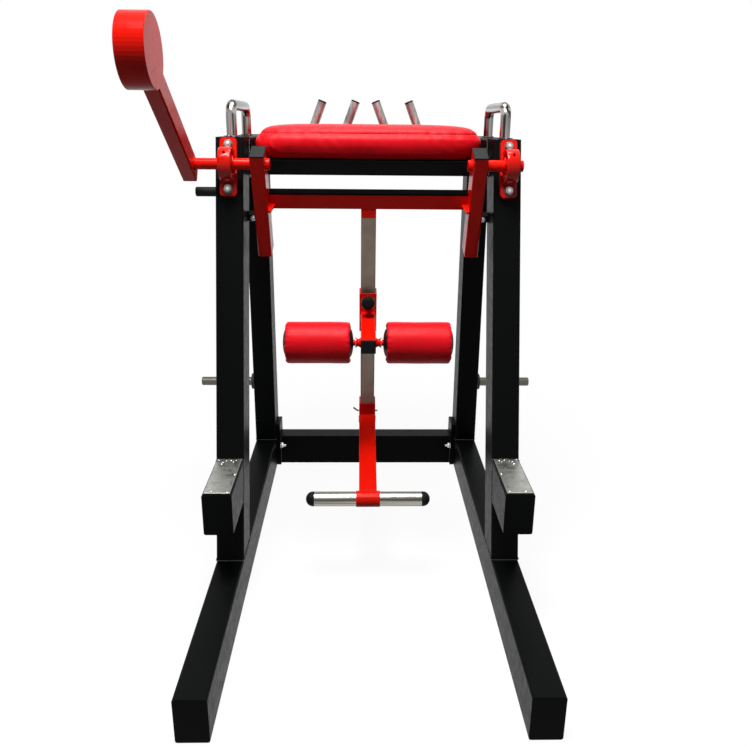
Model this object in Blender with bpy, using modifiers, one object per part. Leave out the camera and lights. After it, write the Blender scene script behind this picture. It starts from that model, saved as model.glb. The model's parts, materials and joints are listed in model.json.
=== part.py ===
"""Reverse hyperextension machine.

Metres, +Z up. The front, where the rails reach furthest, faces -Y.
The origin is on the floor, at the middle of the machine's box.
"""
import math

import bmesh
import bpy
from mathutils import Vector

# Gap between pieces that touch, and clearances of pieces that move
GAP = 0.0003
SLIDE_GAP = 0.0004
SHAFT_GAP = 0.0003
PLUG_GAP = 0.0014

# Merge distance, weld overlap of joined pieces and half-size of wide cutters
MERGE = 0.0001
WELD = 0.001
CUT_REACH = 0.3

# Small roundings, and sides of round pieces
SOFT_EDGE = 0.0015
PLATE_EDGE = 0.0008
INSIDE_EDGE = 0.0015
ROUND_STEPS = 24
SMALL_STEPS = 16
DRUM_STEPS = 56
HEX_STEPS = 6
SMOOTH_ANGLE = math.radians(35.0)

# Box tube of the frame
TUBE_W = 0.080
TUBE_H = 0.120
TUBE_WALL = 0.004
TUBE_ROUND = 0.005
VENT_RADIUS = 0.006

# Frame
FRAME_WIDTH = 0.885
RAIL_LENGTH = 1.565
FRAME_TOP = 1.295
UPRIGHT_LEAN = math.radians(17.0)
FLANGE_HEIGHT = 0.178
FLANGE_LENGTH = 0.100
FLANGE_THICK = 0.014
FLANGE_CORNER = 0.006

# Foot steps
STEP_REACH = 0.134
STEP_TOP = 0.405
STEP_PLATE_THICK = 0.003
STEP_PLATE_MARGIN = 0.005

# Beams between the side frames
BEAM_DEPTH = 0.080
BEAM_HEIGHT = 0.045
BEAM_DROP = 0.063
BEAM_WALL = 0.003
BEAM_ROUND = 0.004
GRIP_BAR_SIZE = 0.050

# Hand grips behind the pad, set a little to the left
GRIP_RADIUS = 0.0155
GRIP_RISE = 0.116
GRIP_TILT = math.radians(21.0)
GRIP_OFFSET = -0.006
INNER_GRIP_X = 0.036
OUTER_GRIP_X = 0.156

# U-handles on the side frames
HANDLE_RADIUS = 0.0155
HANDLE_SPAN = 0.305
HANDLE_BEHIND_PIVOT = 0.125
HANDLE_HEIGHT = 0.105
HANDLE_BEND = 0.032
HANDLE_BEND_STEPS = 6
HANDLE_RESOLUTION = 5

# Padded body rest: it ends in front of the grip bar, and the pivot is measured from its front edge
PAD_SIDE_GAP = 0.021
PAD_LENGTH = 0.550
PAD_REAR_GAP = 0.00775
PAD_BEHIND_PIVOT = 0.111
PAD_HEIGHT = 0.088
PAD_CORNER = 0.064
PAD_FOOT_INSET = 0.013
PAD_BULGE_HEIGHT = 0.034
PAD_SEAM_HEIGHT = 0.063
PAD_SEAM_INSET = 0.010
PAD_SEAM_WIDTH = 0.003
PAD_SEAM_DEPTH = 0.0025
PAD_CROWN_RUN = 0.150
BOARD_THICK = 0.012
BOARD_MARGIN = 0.018
BEAM_MARGIN = 0.018

# Pillow block bearing: a common size for a 31.75 mm shaft
PIVOT_DROP = 0.071
SHAFT_RADIUS = 0.015875
BLOCK_CENTRE_HEIGHT = 0.0476
BLOCK_LENGTH = 0.167
BLOCK_WIDTH = 0.048
BLOCK_FOOT = 0.018
BLOCK_CORNER = 0.010
BLOCK_HUB_RADIUS = 0.0454
BLOCK_HUB_WIDTH = 0.034
BLOCK_BORE_RADIUS = 0.036
BLOCK_BOLT_SPACING = 0.127
INSERT_WIDTH = 0.023
INSERT_RING_WIDTH = 0.043
INSERT_RING_RADIUS = 0.0235
INSERT_CHAMFER = 0.001
BOLT_RADIUS = 0.006
BOLT_HOLE_RADIUS = 0.007
BOLT_HEAD_RADIUS = 0.0115
BOLT_HEAD_HEIGHT = 0.008
WASHER_RADIUS = 0.0140
WASHER_THICK = 0.0025
BOLT_REACH = 0.030

# Storage pegs, side peg and bump stops
PEG_RADIUS = 0.017
PEG_REACH = 0.2125
PEG_WALL = 0.003
PEG_CHAMFER = 0.002
PEG_HEIGHT = 0.3515
PEG_FLANGE_RADIUS = 0.0315
PEG_FLANGE_THICK = 0.014
SIDE_PEG_RADIUS = 0.014
SIDE_PEG_REACH = 0.068
SIDE_PEG_DROP = 0.155
STOP_SIZE = 0.025
STOP_DROP = 0.189
STOP_LAP = 0.032
STOP_EDGE = 0.002

# Pendulum arms and crossbar
ARM_LEAN = math.radians(22.0)
ARM_WIDTH = 0.040
ARM_DEPTH = 0.070
ARM_ABOVE = 0.033
ARM_BELOW = 0.280
ARM_SIDE_GAP = 0.0305
ARM_WALL = 0.003
ARM_ROUND = 0.004
ARM_CAP_THICK = 0.005
PLUG_DEPTH = 0.012
SHAFT_INNER_REACH = 0.012
SHAFT_OUTER_REACH = 0.0345
CROSSBAR_HEIGHT = 0.050
CROSSBAR_DEPTH = 0.030
CROSSBAR_DROP = 0.1174
HANG_BACK = 0.0130
HANG_LOWER = 0.0110
GUSSET_THICK = 0.006
GUSSET_WIDTH = 0.020
GUSSET_TIP = 0.008
GUSSET_REACH = 0.048
GUSSET_DROP = 0.127

# Square steel tube of the pendulum, measured down from its own start near the crossbar
HANG_LEAN = math.radians(7.5)
BAR_SIZE = 0.045
BAR_WALL = 0.003
BAR_ROUND = 0.003
STUB_END = 0.046
BAR_END = 0.755
PIN_RADIUS = 0.003
PIN_HOLE_RADIUS = 0.0036
PIN_PITCH = 0.050
PIN_HOLES = 3

# Counterweight, outside the left side frame
COUNTER_RISE = math.radians(33.5)
COUNTER_SIDE_GAP = 0.0495
COUNTER_ARM_WIDTH = 0.040
COUNTER_ARM_DEPTH = 0.060
COUNTER_TAIL = 0.045
COUNTER_DISTANCE = 0.470
COUNTER_RADIUS = 0.082
COUNTER_WIDTH = 0.066
COUNTER_OVERHANG = 0.010
COUNTER_CHAMFER = 0.0015

# Roller carriage on the square tube
COLLAR_WALL = 0.004
COLLAR_INSIDE_EDGE = 0.002
CARRIAGE_DROP = 0.345
CARRIAGE_LENGTH = 0.126
ROLLER_TUBE_RISE = 0.042
ROLLER_TUBE_DIP = math.radians(7.5)
ROLLER_TUBE_SIZE = 0.045
ROLLER_TUBE_LENGTH = 0.173
ROLLER_CAP_THICK = 0.005
AXLE_SETBACK = 0.028
AXLE_RADIUS = 0.0095
KNOB_MARGIN = 0.018
KNOB_RADIUS = 0.0218
KNOB_LENGTH = 0.046
KNOB_HEAD = 0.025
KNOB_CROWN = 0.009
KNOB_NECK_RADIUS = 0.009
KNOB_NECK_START = 0.012
KNOB_STUD_RADIUS = 0.006
KNOB_BOSS_RADIUS = 0.011
KNOB_BOSS_HEIGHT = 0.009

# Padded rollers
FOAM_RADIUS = 0.0600
FOAM_CROWN = 0.0012
FOAM_SHOULDER = 0.010
FOAM_START = 0.0565
FOAM_LENGTH = 0.186
SPOOL_CORE_RADIUS = 0.0160
SPOOL_FLANGE_RADIUS = 0.044
SPOOL_DOME = 0.0120
SPOOL_BORE_GAP = 0.0005
SPOOL_END_WALL = 0.0105

# Lower lever on the square tube
LEVER_MARGIN = 0.006
LEVER_COLLAR_LENGTH = 0.080
LEVER_TUBE_RISE = 0.022
LEVER_DIP = math.radians(13.0)
LEVER_WIDTH = 0.0535
LEVER_DEPTH = 0.030
LEVER_LENGTH = 0.355
SLEEVE_WALL = 0.0018
SLEEVE_LENGTH = 0.071
PIN_RIGHT_REACH = 0.035
PIN_LEFT_REACH = 0.033
PIN_PULL = (-0.013, -0.004, 0.013)
PIN_BEND = 0.007
FOOT_BAR_RADIUS = 0.0222
FOOT_BAR_LENGTH = 0.321
FOOT_BAR_WALL = 0.003
FOOT_CAP_DOME = 0.0205
FOOT_CAP_RIM = 0.0045

# Places worked out from the sizes above
SIDE_X = (FRAME_WIDTH - TUBE_W) / 2
INNER_X = FRAME_WIDTH / 2 - TUBE_W
OUTER_X = FRAME_WIDTH / 2
RAIL_END_Y = RAIL_LENGTH / 2
POST_Y = RAIL_END_Y - TUBE_H / 2
BEAM_UNDERSIDE = FRAME_TOP - TUBE_H
UPRIGHT_DEPTH = TUBE_H / math.cos(UPRIGHT_LEAN)
PIVOT_HEIGHT = FRAME_TOP - PIVOT_DROP
GRIP_BAR_Y = RAIL_END_Y - GRIP_BAR_SIZE / 2
PAD_WIDTH = 2 * (INNER_X - PAD_SIDE_GAP)
PAD_FRONT_Y = GRIP_BAR_Y - GRIP_BAR_SIZE / 2 - PAD_REAR_GAP - PAD_LENGTH
PIVOT_Y = PAD_FRONT_Y - PAD_BEHIND_PIVOT
UPRIGHT_FOOT_Y = (
    PIVOT_Y
    + BLOCK_CENTRE_HEIGHT / math.cos(UPRIGHT_LEAN)
    - math.tan(UPRIGHT_LEAN) * (PIVOT_HEIGHT - TUBE_H)
)
PAD_CENTRE_Y = PAD_FRONT_Y + PAD_LENGTH / 2
FRONT_BEAM_Y = PAD_FRONT_Y + BEAM_MARGIN + BEAM_DEPTH / 2
REAR_BEAM_Y = PAD_FRONT_Y + PAD_LENGTH - BEAM_MARGIN - BEAM_DEPTH / 2
PAD_BEAM_TOP = FRAME_TOP - BEAM_DROP
BOARD_BASE = PAD_BEAM_TOP + GAP
PAD_BASE = BOARD_BASE + BOARD_THICK + GAP
ARM_OUTER_X = INNER_X - ARM_SIDE_GAP
ARM_X = ARM_OUTER_X - ARM_WIDTH / 2
ARM_INNER_X = ARM_OUTER_X - ARM_WIDTH
CROSSBAR_Y = (ARM_DEPTH - CROSSBAR_DEPTH) / 2
COUNTER_ARM_INNER_X = OUTER_X + COUNTER_SIDE_GAP
COLLAR_HOLE = BAR_SIZE + 2 * SLIDE_GAP
COLLAR_SIZE = COLLAR_HOLE + 2 * COLLAR_WALL
LEVER_CENTRE = BAR_END - LEVER_MARGIN - LEVER_COLLAR_LENGTH / 2
FOAM_END = FOAM_START + FOAM_LENGTH
AXLE_HALF = FOAM_END + GAP
SLEEVE_RADIUS = FOOT_BAR_RADIUS + GAP + SLEEVE_WALL

ALONG_X = (0.0, math.pi / 2, 0.0)
ALONG_MINUS_X = (0.0, -math.pi / 2, 0.0)
ALONG_MINUS_Y = (math.pi / 2, 0.0, 0.0)
SIDES = (("left", -1), ("right", 1))
OUTWARD = {"left": ALONG_MINUS_X, "right": ALONG_X}


for old in list(bpy.data.objects):
    bpy.data.objects.remove(old)

machine = bpy.data.collections.new("reverse_hyperextension_machine")
cutters = bpy.data.collections.new("cutters")
bpy.context.scene.collection.children.link(machine)
bpy.context.scene.collection.children.link(cutters)


def surface(name, colour, roughness, metallic=0.0):
    """A material with one colour, roughness and metallic value."""
    material = bpy.data.materials.new(name)
    material.use_nodes = True
    shader = material.node_tree.nodes["Principled BSDF"]
    shader.inputs["Base Color"].default_value = (*colour, 1.0)
    shader.inputs["Roughness"].default_value = roughness
    shader.inputs["Metallic"].default_value = metallic
    return material


BLACK_COAT = surface("black powder coat", (0.014, 0.014, 0.015), 0.42)
RED_COAT = surface("red powder coat", (0.60, 0.008, 0.010), 0.30)
RED_VINYL = surface("red vinyl", (0.62, 0.012, 0.022), 0.40)
BARE_STEEL = surface("bare steel", (0.52, 0.51, 0.49), 0.38, 1.0)
BRUSHED_STEEL = surface("brushed stainless steel", (0.56, 0.53, 0.49), 0.30, 1.0)
CHROME = surface("chrome", (0.80, 0.80, 0.80), 0.10, 1.0)
ZINC = surface("zinc plated steel", (0.66, 0.66, 0.64), 0.32, 1.0)
BLACK_PLASTIC = surface("black plastic", (0.020, 0.020, 0.020), 0.45)
BLACK_RUBBER = surface("black rubber", (0.018, 0.018, 0.018), 0.70)
PLYWOOD = surface("plywood", (0.45, 0.30, 0.17), 0.75)


def upright_face_y(height):
    """Where the uprights' sloping front faces are at a height."""
    return UPRIGHT_FOOT_Y + math.tan(UPRIGHT_LEAN) * (height - TUBE_H)


def empty(name, location, lean=0.0, parent=None):
    """A marker on a joint's axis or at the head of a leaning line of pieces."""
    marker = bpy.data.objects.new(name, None)
    marker.empty_display_size = 0.05
    marker.location = location
    marker.rotation_euler = (lean, 0.0, 0.0)
    marker.parent = parent
    machine.objects.link(marker)
    return marker


def place(name, mesh, material, location=(0, 0, 0), rotation=(0, 0, 0), parent=None):
    """Put a mesh in the scene as a piece."""
    piece = bpy.data.objects.new(name, mesh)
    piece.location = location
    piece.rotation_euler = rotation
    piece.parent = parent
    mesh.materials.append(material)
    machine.objects.link(piece)
    return piece


def boolean(piece, operation, mesh, location=(0, 0, 0), rotation=(0, 0, 0), parent=None):
    """Cut a piece with a mesh, or join a mesh to it."""
    guide = place(mesh.name, mesh, piece.data.materials[0], location, rotation, parent)
    machine.objects.unlink(guide)
    cutters.objects.link(guide)
    guide.hide_render = True
    guide.display_type = "WIRE"
    step = piece.modifiers.new(operation.lower(), "BOOLEAN")
    step.operation = operation
    step.solver = "EXACT"
    step.object = guide
    return guide


def cut(piece, mesh, **where):
    return boolean(piece, "DIFFERENCE", mesh, **where)


def join(piece, mesh, **where):
    return boolean(piece, "UNION", mesh, **where)


def mesh_from(bm, name, smooth=False):
    """Write a bmesh to a mesh."""
    mesh = bpy.data.meshes.new(name)
    bm.to_mesh(mesh)
    bm.free()
    if smooth:
        mesh.shade_smooth()
        mesh.set_sharp_from_angle(angle=SMOOTH_ANGLE)
    return mesh


def box_mesh(name, size, centre=(0, 0, 0), rounding=0.0, along=None, segments=2):
    """A box; rounding softens the four edges along one axis, or all edges."""
    bm = bmesh.new()
    bmesh.ops.create_cube(bm, size=1.0)
    bmesh.ops.scale(bm, vec=size, verts=bm.verts)
    if rounding > 0.0:
        edges = []
        for edge in bm.edges:
            run = edge.verts[1].co - edge.verts[0].co
            if along is None or abs(run["xyz".index(along)]) > MERGE:
                edges.append(edge)
        bmesh.ops.bevel(bm, geom=edges, offset=rounding, segments=segments, affect="EDGES", profile=0.5)
    bmesh.ops.translate(bm, vec=centre, verts=bm.verts)
    return mesh_from(bm, name)


def rod_mesh(name, radius, low, high, steps=ROUND_STEPS, chamfer=0.0):
    """A solid cylinder along local Z from low to high."""
    bm = bmesh.new()
    bmesh.ops.create_cone(
        bm, cap_ends=True, segments=steps, radius1=radius, radius2=radius, depth=high - low
    )
    if chamfer > 0.0:
        rims = [edge for edge in bm.edges if abs(edge.verts[0].co.z - edge.verts[1].co.z) < MERGE]
        bmesh.ops.bevel(bm, geom=rims, offset=chamfer, segments=1, affect="EDGES", profile=0.5)
    bmesh.ops.translate(bm, vec=(0, 0, (low + high) / 2), verts=bm.verts)
    return mesh_from(bm, name, smooth=True)


def shear_back(mesh):
    """Lean an upright mesh back with the uprights, about the rails' top."""
    for vertex in mesh.vertices:
        vertex.co.y += math.tan(UPRIGHT_LEAN) * (vertex.co.z - TUBE_H)
    return mesh


def arc(centre, radii, start, end, steps):
    """Points on a round or oval arc; angles in degrees from the first axis."""
    points = []
    for step in range(steps + 1):
        angle = math.radians(start + (end - start) * step / steps)
        points.append((centre[0] + radii[0] * math.cos(angle), centre[1] + radii[1] * math.sin(angle)))
    return points


def turned(name, points, material, rotation, parent, location=(0, 0, 0), closed=False):
    """Turn a profile of (radius, height) points about local Z."""
    bm = bmesh.new()
    verts = [bm.verts.new((radius, 0.0, height)) for radius, height in points]
    for first, second in zip(verts, verts[1:]):
        bm.edges.new((first, second))
    if closed:
        bm.edges.new((verts[-1], verts[0]))
    piece = place(name, mesh_from(bm, name), material, location, rotation, parent)
    screw = piece.modifiers.new("turned", "SCREW")
    screw.steps = ROUND_STEPS
    screw.render_steps = ROUND_STEPS
    screw.use_merge_vertices = True
    screw.merge_threshold = MERGE
    screw.use_smooth_shade = True
    return piece


def plate_mesh(name, points, thickness):
    """A flat plate from an outline in local XY, its thickness centred on Z."""
    curve = bpy.data.curves.new(name, "CURVE")
    curve.dimensions = "2D"
    curve.fill_mode = "BOTH"
    curve.extrude = thickness / 2
    spline = curve.splines.new("POLY")
    spline.points.add(len(points) - 1)
    for point, (x, y) in zip(spline.points, points):
        point.co = (x, y, 0.0, 1.0)
    spline.use_cyclic_u = True
    drawn = bpy.data.objects.new(name, curve)
    cutters.objects.link(drawn)
    evaluated = drawn.evaluated_get(bpy.context.evaluated_depsgraph_get())
    flat = bpy.data.meshes.new_from_object(evaluated)
    bpy.data.objects.remove(drawn)
    bm = bmesh.new()
    bm.from_mesh(flat)
    bmesh.ops.remove_doubles(bm, verts=bm.verts, dist=MERGE)
    bmesh.ops.recalc_face_normals(bm, faces=bm.faces)
    return mesh_from(bm, name)


def rounded_path(corners, radius, steps):
    """Points along a path whose inner corners are round bends."""
    path = [Vector(corners[0])]
    for before, corner, after in zip(corners, corners[1:], corners[2:]):
        corner = Vector(corner)
        into = (Vector(before) - corner).normalized()
        out = (Vector(after) - corner).normalized()
        half = into.angle(out) / 2
        setback = radius / math.tan(half)
        centre = corner + (into + out).normalized() * (radius / math.sin(half))
        start = corner + into * setback - centre
        end = corner + out * setback - centre
        for step in range(steps + 1):
            path.append(centre + start.slerp(end, step / steps).normalized() * radius)
    path.append(Vector(corners[-1]))
    return path


def bent_rod(name, points, radius, material, parent, location=(0, 0, 0), resolution=3):
    """A round bar bent along points."""
    curve = bpy.data.curves.new(name, "CURVE")
    curve.dimensions = "3D"
    curve.bevel_depth = radius
    curve.bevel_resolution = resolution
    curve.use_fill_caps = True
    spline = curve.splines.new("POLY")
    spline.points.add(len(points) - 1)
    for point, spot in zip(spline.points, points):
        point.co = (*spot, 1.0)
    curve.materials.append(material)
    bar = bpy.data.objects.new(name, curve)
    bar.parent = parent
    bar.location = location
    machine.objects.link(bar)
    return bar


def hollow(tube, size, along, wall, low, high, centre=(0, 0, 0), **where):
    """Cut out the inside of a box tube from low to high along its axis."""
    axis = "xyz".index(along)
    inner = [side - 2 * wall for side in size]
    inner[axis] = high - low
    middle = list(centre)
    middle[axis] = (low + high) / 2
    cut(tube, box_mesh(tube.name + "_inside", inner, middle, INSIDE_EDGE, along, 1), **where)


def box_tube(name, size, along, wall, rounding, open_ends, material, location=(0, 0, 0),
             centre=(0, 0, 0), parent=None):
    """A box tube whose low and high ends are each open, or closed as thick as its wall."""
    tube = place(name, box_mesh(name, size, centre, rounding, along), material, location, parent=parent)
    axis = "xyz".index(along)
    low = centre[axis] - size[axis] / 2 + (-WELD if open_ends[0] else wall)
    high = centre[axis] + size[axis] / 2 + (WELD if open_ends[1] else -wall)
    hollow(tube, size, along, wall, low, high, centre, location=location, parent=parent)
    return tube


frame = empty("machine_frame", (0, 0, 0))
pivot = empty("pendulum_pivot", (0, PIVOT_Y, PIVOT_HEIGHT))
arm_line = empty("arm_line", (0, 0, 0), ARM_LEAN, pivot)
# The square tube starts behind the crossbar's middle, so that their fronts are level where they meet
hang_start = (0, CROSSBAR_Y + HANG_BACK, -CROSSBAR_DROP - HANG_LOWER)
hang_line = empty("hang_line", hang_start, HANG_LEAN - ARM_LEAN, arm_line)
counter_line = empty("counterweight_line", (0, 0, 0), math.pi / 2 - COUNTER_RISE, pivot)
carriage = empty("roller_carriage_origin", (0, 0, -CARRIAGE_DROP), 0.0, hang_line)
roller_tube_line = empty(
    "roller_tube_line", (0, -COLLAR_SIZE / 2, ROLLER_TUBE_RISE - CARRIAGE_LENGTH / 2), ROLLER_TUBE_DIP, carriage
)
axle_line = empty("roller_axle_line", (0, AXLE_SETBACK - ROLLER_TUBE_LENGTH, 0), 0.0, roller_tube_line)
knob_line = empty("clamp_knob_line", (0, -COLLAR_SIZE / 2, CARRIAGE_LENGTH / 2 - KNOB_MARGIN), 0.0, carriage)
lever = empty("lower_lever_origin", (0, 0, -LEVER_CENTRE), 0.0, hang_line)
lever_line = empty(
    "lever_line", (0, -COLLAR_SIZE / 2, LEVER_TUBE_RISE - LEVER_COLLAR_LENGTH / 2), LEVER_DIP, lever
)
foot_bar_line = empty("foot_bar_line", (0, -LEVER_LENGTH, 0), 0.0, lever_line)
bearing_lines = {}
for side, sign in SIDES:
    spot = (sign * SIDE_X, PIVOT_Y, PIVOT_HEIGHT)
    bearing_lines[side] = empty(side + "_bearing_line", spot, -UPRIGHT_LEAN, frame)


def base_rails():
    """Rails on the floor, closed at both ends, each with a vent hole underneath."""
    size = (TUBE_W, RAIL_LENGTH, TUBE_H)
    for side, sign in SIDES:
        spot = (sign * SIDE_X, 0, TUBE_H / 2)
        rail = box_tube(side + "_base_rail", size, "y", TUBE_WALL, TUBE_ROUND, (False, False), BLACK_COAT,
                        spot, parent=frame)
        vent = rod_mesh(side + "_rail_vent", VENT_RADIUS, -WELD, 2 * TUBE_WALL, SMALL_STEPS)
        cut(rail, vent, location=(sign * SIDE_X, RAIL_END_Y - TUBE_H, 0))


def upright_solid(name, grow, rounding):
    """A leaning block with level ends; grow makes the cutter for what meets an upright."""
    base = TUBE_H + GAP
    size = (TUBE_W + 2 * grow, UPRIGHT_DEPTH + 2 * grow, FRAME_TOP - base)
    centre = (0, UPRIGHT_FOOT_Y + UPRIGHT_DEPTH / 2, (FRAME_TOP + base) / 2)
    return shear_back(box_mesh(name, size, centre, rounding, "z"))


def front_uprights():
    """Leaning box tubes, closed at the top, with the bearings' bolt holes in their faces."""
    wall_depth = TUBE_WALL / math.cos(UPRIGHT_LEAN)
    low = TUBE_H - WELD
    high = FRAME_TOP - TUBE_WALL
    inner = (TUBE_W - 2 * TUBE_WALL, UPRIGHT_DEPTH - 2 * wall_depth, high - low)
    centre = (0, UPRIGHT_FOOT_Y + UPRIGHT_DEPTH / 2, (low + high) / 2)
    for side, sign in SIDES:
        spot = (sign * SIDE_X, 0, 0)
        name = side + "_front_upright"
        upright = place(name, upright_solid(name, 0, TUBE_ROUND), BLACK_COAT, spot, parent=frame)
        inside = box_mesh(name + "_inside", inner, centre, INSIDE_EDGE, "z", 1)
        cut(upright, shear_back(inside), location=spot)
        for end in (-1, 1):
            hole = rod_mesh(name + "_hole", BOLT_HOLE_RADIUS, -2 * TUBE_WALL, 2 * TUBE_WALL, SMALL_STEPS)
            bolt_at = (0, BLOCK_CENTRE_HEIGHT, end * BLOCK_BOLT_SPACING / 2)
            cut(upright, hole, location=bolt_at, rotation=ALONG_MINUS_Y, parent=bearing_lines[side])


def rear_posts():
    low = TUBE_H + GAP
    high = BEAM_UNDERSIDE - GAP
    size = (TUBE_W, TUBE_H, high - low)
    for side, sign in SIDES:
        spot = (sign * SIDE_X, POST_Y, (low + high) / 2)
        box_tube(side + "_rear_post", size, "z", TUBE_WALL, TUBE_ROUND, (True, True), BLACK_COAT, spot,
                 parent=frame)


def top_beams():
    """Each beam butts against its upright and runs back over its rear post."""
    height = FRAME_TOP - TUBE_H / 2
    start = UPRIGHT_FOOT_Y + UPRIGHT_DEPTH
    size = (TUBE_W, RAIL_END_Y - start, TUBE_H)
    block = (2 * TUBE_W, 2 * CUT_REACH, 2 * TUBE_H)
    back_y = upright_face_y(height) + UPRIGHT_DEPTH + GAP / math.cos(UPRIGHT_LEAN)
    for side, sign in SIDES:
        spot = (sign * SIDE_X, (start + RAIL_END_Y) / 2, height)
        beam = box_tube(side + "_top_beam", size, "y", TUBE_WALL, TUBE_ROUND, (True, False), BLACK_COAT, spot,
                        parent=frame)
        mitre = shear_back(box_mesh(side + "_mitre", block, (0, -CUT_REACH, TUBE_H)))
        cut(beam, mitre, location=(sign * SIDE_X, back_y, height - TUBE_H))


def rear_cross_member():
    """Box tube on the floor with a flange plate welded to each end."""
    half = INNER_X - GAP - FLANGE_THICK
    size = (2 * half, TUBE_W, TUBE_H)
    spot = (0, RAIL_END_Y - TUBE_W / 2, TUBE_H / 2)
    member = place("rear_cross_member", box_mesh("rear_cross_member", size, rounding=TUBE_ROUND, along="x"),
                   BLACK_COAT, spot, parent=frame)
    plate_size = (FLANGE_THICK + WELD, FLANGE_LENGTH, FLANGE_HEIGHT)
    for sign in (-1, 1):
        plate_x = sign * (INNER_X - GAP - plate_size[0] / 2)
        plate = box_mesh("flange_plate", plate_size, rounding=FLANGE_CORNER, along="x")
        join(member, plate, location=(plate_x, RAIL_END_Y - FLANGE_LENGTH / 2, FLANGE_HEIGHT / 2))
    hollow(member, size, "x", TUBE_WALL, -half, half, location=spot)
    vent = rod_mesh("member_vent", VENT_RADIUS, -WELD, 2 * TUBE_WALL, SMALL_STEPS)
    cut(member, vent, location=(0, spot[1], 0))


def foot_steps():
    """Box tube steps on the uprights' faces, each with a bare steel plate on top."""
    reach = STEP_REACH + UPRIGHT_DEPTH
    front = UPRIGHT_FOOT_Y - STEP_REACH
    size = (TUBE_W, reach, TUBE_H)
    plate_low = front + STEP_PLATE_MARGIN
    plate_high = upright_face_y(STEP_TOP) - STEP_PLATE_MARGIN
    plate_size = (TUBE_W - 2 * STEP_PLATE_MARGIN, plate_high - plate_low, STEP_PLATE_THICK)
    for side, sign in SIDES:
        spot = (sign * SIDE_X, front + reach / 2, STEP_TOP - TUBE_H / 2)
        step = box_tube(side + "_foot_step", size, "y", TUBE_WALL, TUBE_ROUND, (False, True), BLACK_COAT, spot,
                        parent=frame)
        cut(step, upright_solid(side + "_step_mitre", GAP, 0), location=(sign * SIDE_X, 0, 0))
        plate_at = (sign * SIDE_X, (plate_low + plate_high) / 2, STEP_TOP + GAP + STEP_PLATE_THICK / 2)
        plate = box_mesh(side + "_step_plate", plate_size, rounding=PLATE_EDGE, segments=1)
        place(side + "_step_plate", plate, BARE_STEEL, plate_at, parent=frame)


def pad_beams():
    size = (2 * (INNER_X - GAP), BEAM_DEPTH, BEAM_HEIGHT)
    for name, middle in (("front_pad_beam", FRONT_BEAM_Y), ("rear_pad_beam", REAR_BEAM_Y)):
        spot = (0, middle, PAD_BEAM_TOP - BEAM_HEIGHT / 2)
        box_tube(name, size, "x", BEAM_WALL, BEAM_ROUND, (True, True), BLACK_COAT, spot, parent=frame)


def grip_bar_and_grips():
    """Square bar behind the pad and four leaning grips that stand on it."""
    size = (2 * (INNER_X - GAP), GRIP_BAR_SIZE, GRIP_BAR_SIZE)
    spot = (0, GRIP_BAR_Y, FRAME_TOP - GRIP_BAR_SIZE / 2)
    box_tube("grip_bar", size, "x", BEAM_WALL, BEAM_ROUND, (True, True), BLACK_COAT, spot, parent=frame)
    length = GRIP_RISE / math.cos(GRIP_TILT) + 2 * GRIP_RADIUS
    for side, sign in SIDES:
        for kind, from_middle in (("inner", INNER_GRIP_X), ("outer", OUTER_GRIP_X)):
            name = side + "_" + kind + "_grip"
            top_x = sign * from_middle + GRIP_OFFSET
            grip = place(name, rod_mesh(name, GRIP_RADIUS, -length, 0, ROUND_STEPS, SOFT_EDGE), CHROME,
                         (top_x, GRIP_BAR_Y, FRAME_TOP + GRIP_RISE), (0, -sign * GRIP_TILT, 0), frame)
            below = box_mesh(name + "_foot", (CUT_REACH, CUT_REACH, CUT_REACH), (0, 0, -CUT_REACH / 2))
            cut(grip, below, location=(top_x, GRIP_BAR_Y, FRAME_TOP + GAP))


def u_handles():
    foot = FRAME_TOP + GAP
    top = FRAME_TOP + HANDLE_HEIGHT - HANDLE_RADIUS
    front = PIVOT_Y + HANDLE_BEHIND_PIVOT
    back = front + HANDLE_SPAN
    corners = [(0, front, foot), (0, front, top), (0, back, top), (0, back, foot)]
    points = rounded_path(corners, HANDLE_BEND, HANDLE_BEND_STEPS)
    for side, sign in SIDES:
        spot = (sign * SIDE_X, 0, 0)
        bent_rod(side + "_u_handle", points, HANDLE_RADIUS, CHROME, frame, spot, HANDLE_RESOLUTION)


def rounded_outline(half_x, half_y, corner, arc_steps, side_steps):
    """Points round a rectangle with round corners."""
    arcs = []
    for quarter, (sx, sy) in enumerate(((1, 1), (-1, 1), (-1, -1), (1, -1))):
        centre = (sx * (half_x - corner), sy * (half_y - corner))
        bend = arc(centre, (corner, corner), 90 * quarter, 90 * quarter + 90, arc_steps)
        arcs.append([Vector(point) for point in bend])
    outline = []
    for bend, following in zip(arcs, arcs[1:] + arcs[:1]):
        outline += bend
        for step in range(1, side_steps):
            outline.append(bend[-1].lerp(following[0], step / side_steps))
    return outline


def pad_profile():
    """Insets and heights up the pad's bulging side, across its seam and over its crown."""
    seam_low = PAD_SEAM_HEIGHT - PAD_SEAM_WIDTH / 2
    seam_high = PAD_SEAM_HEIGHT + PAD_SEAM_WIDTH / 2
    bulge_rise = seam_low - PAD_BULGE_HEIGHT
    crown = (-PAD_CROWN_RUN, PAD_HEIGHT - seam_high)
    profile = [(PAD_FOOT_INSET + PAD_CORNER / 2, 0.0)]
    profile += arc((PAD_FOOT_INSET, PAD_BULGE_HEIGHT), (-PAD_FOOT_INSET, PAD_BULGE_HEIGHT), -90, 0, 2)
    profile += arc((PAD_SEAM_INSET, PAD_BULGE_HEIGHT), (-PAD_SEAM_INSET, bulge_rise), 0, 90, 2)[1:]
    profile.append((PAD_SEAM_INSET + PAD_SEAM_DEPTH, PAD_SEAM_HEIGHT))
    profile += arc((PAD_SEAM_INSET + PAD_CROWN_RUN, seam_high), crown, 0, 90, 3)
    return profile


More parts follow.
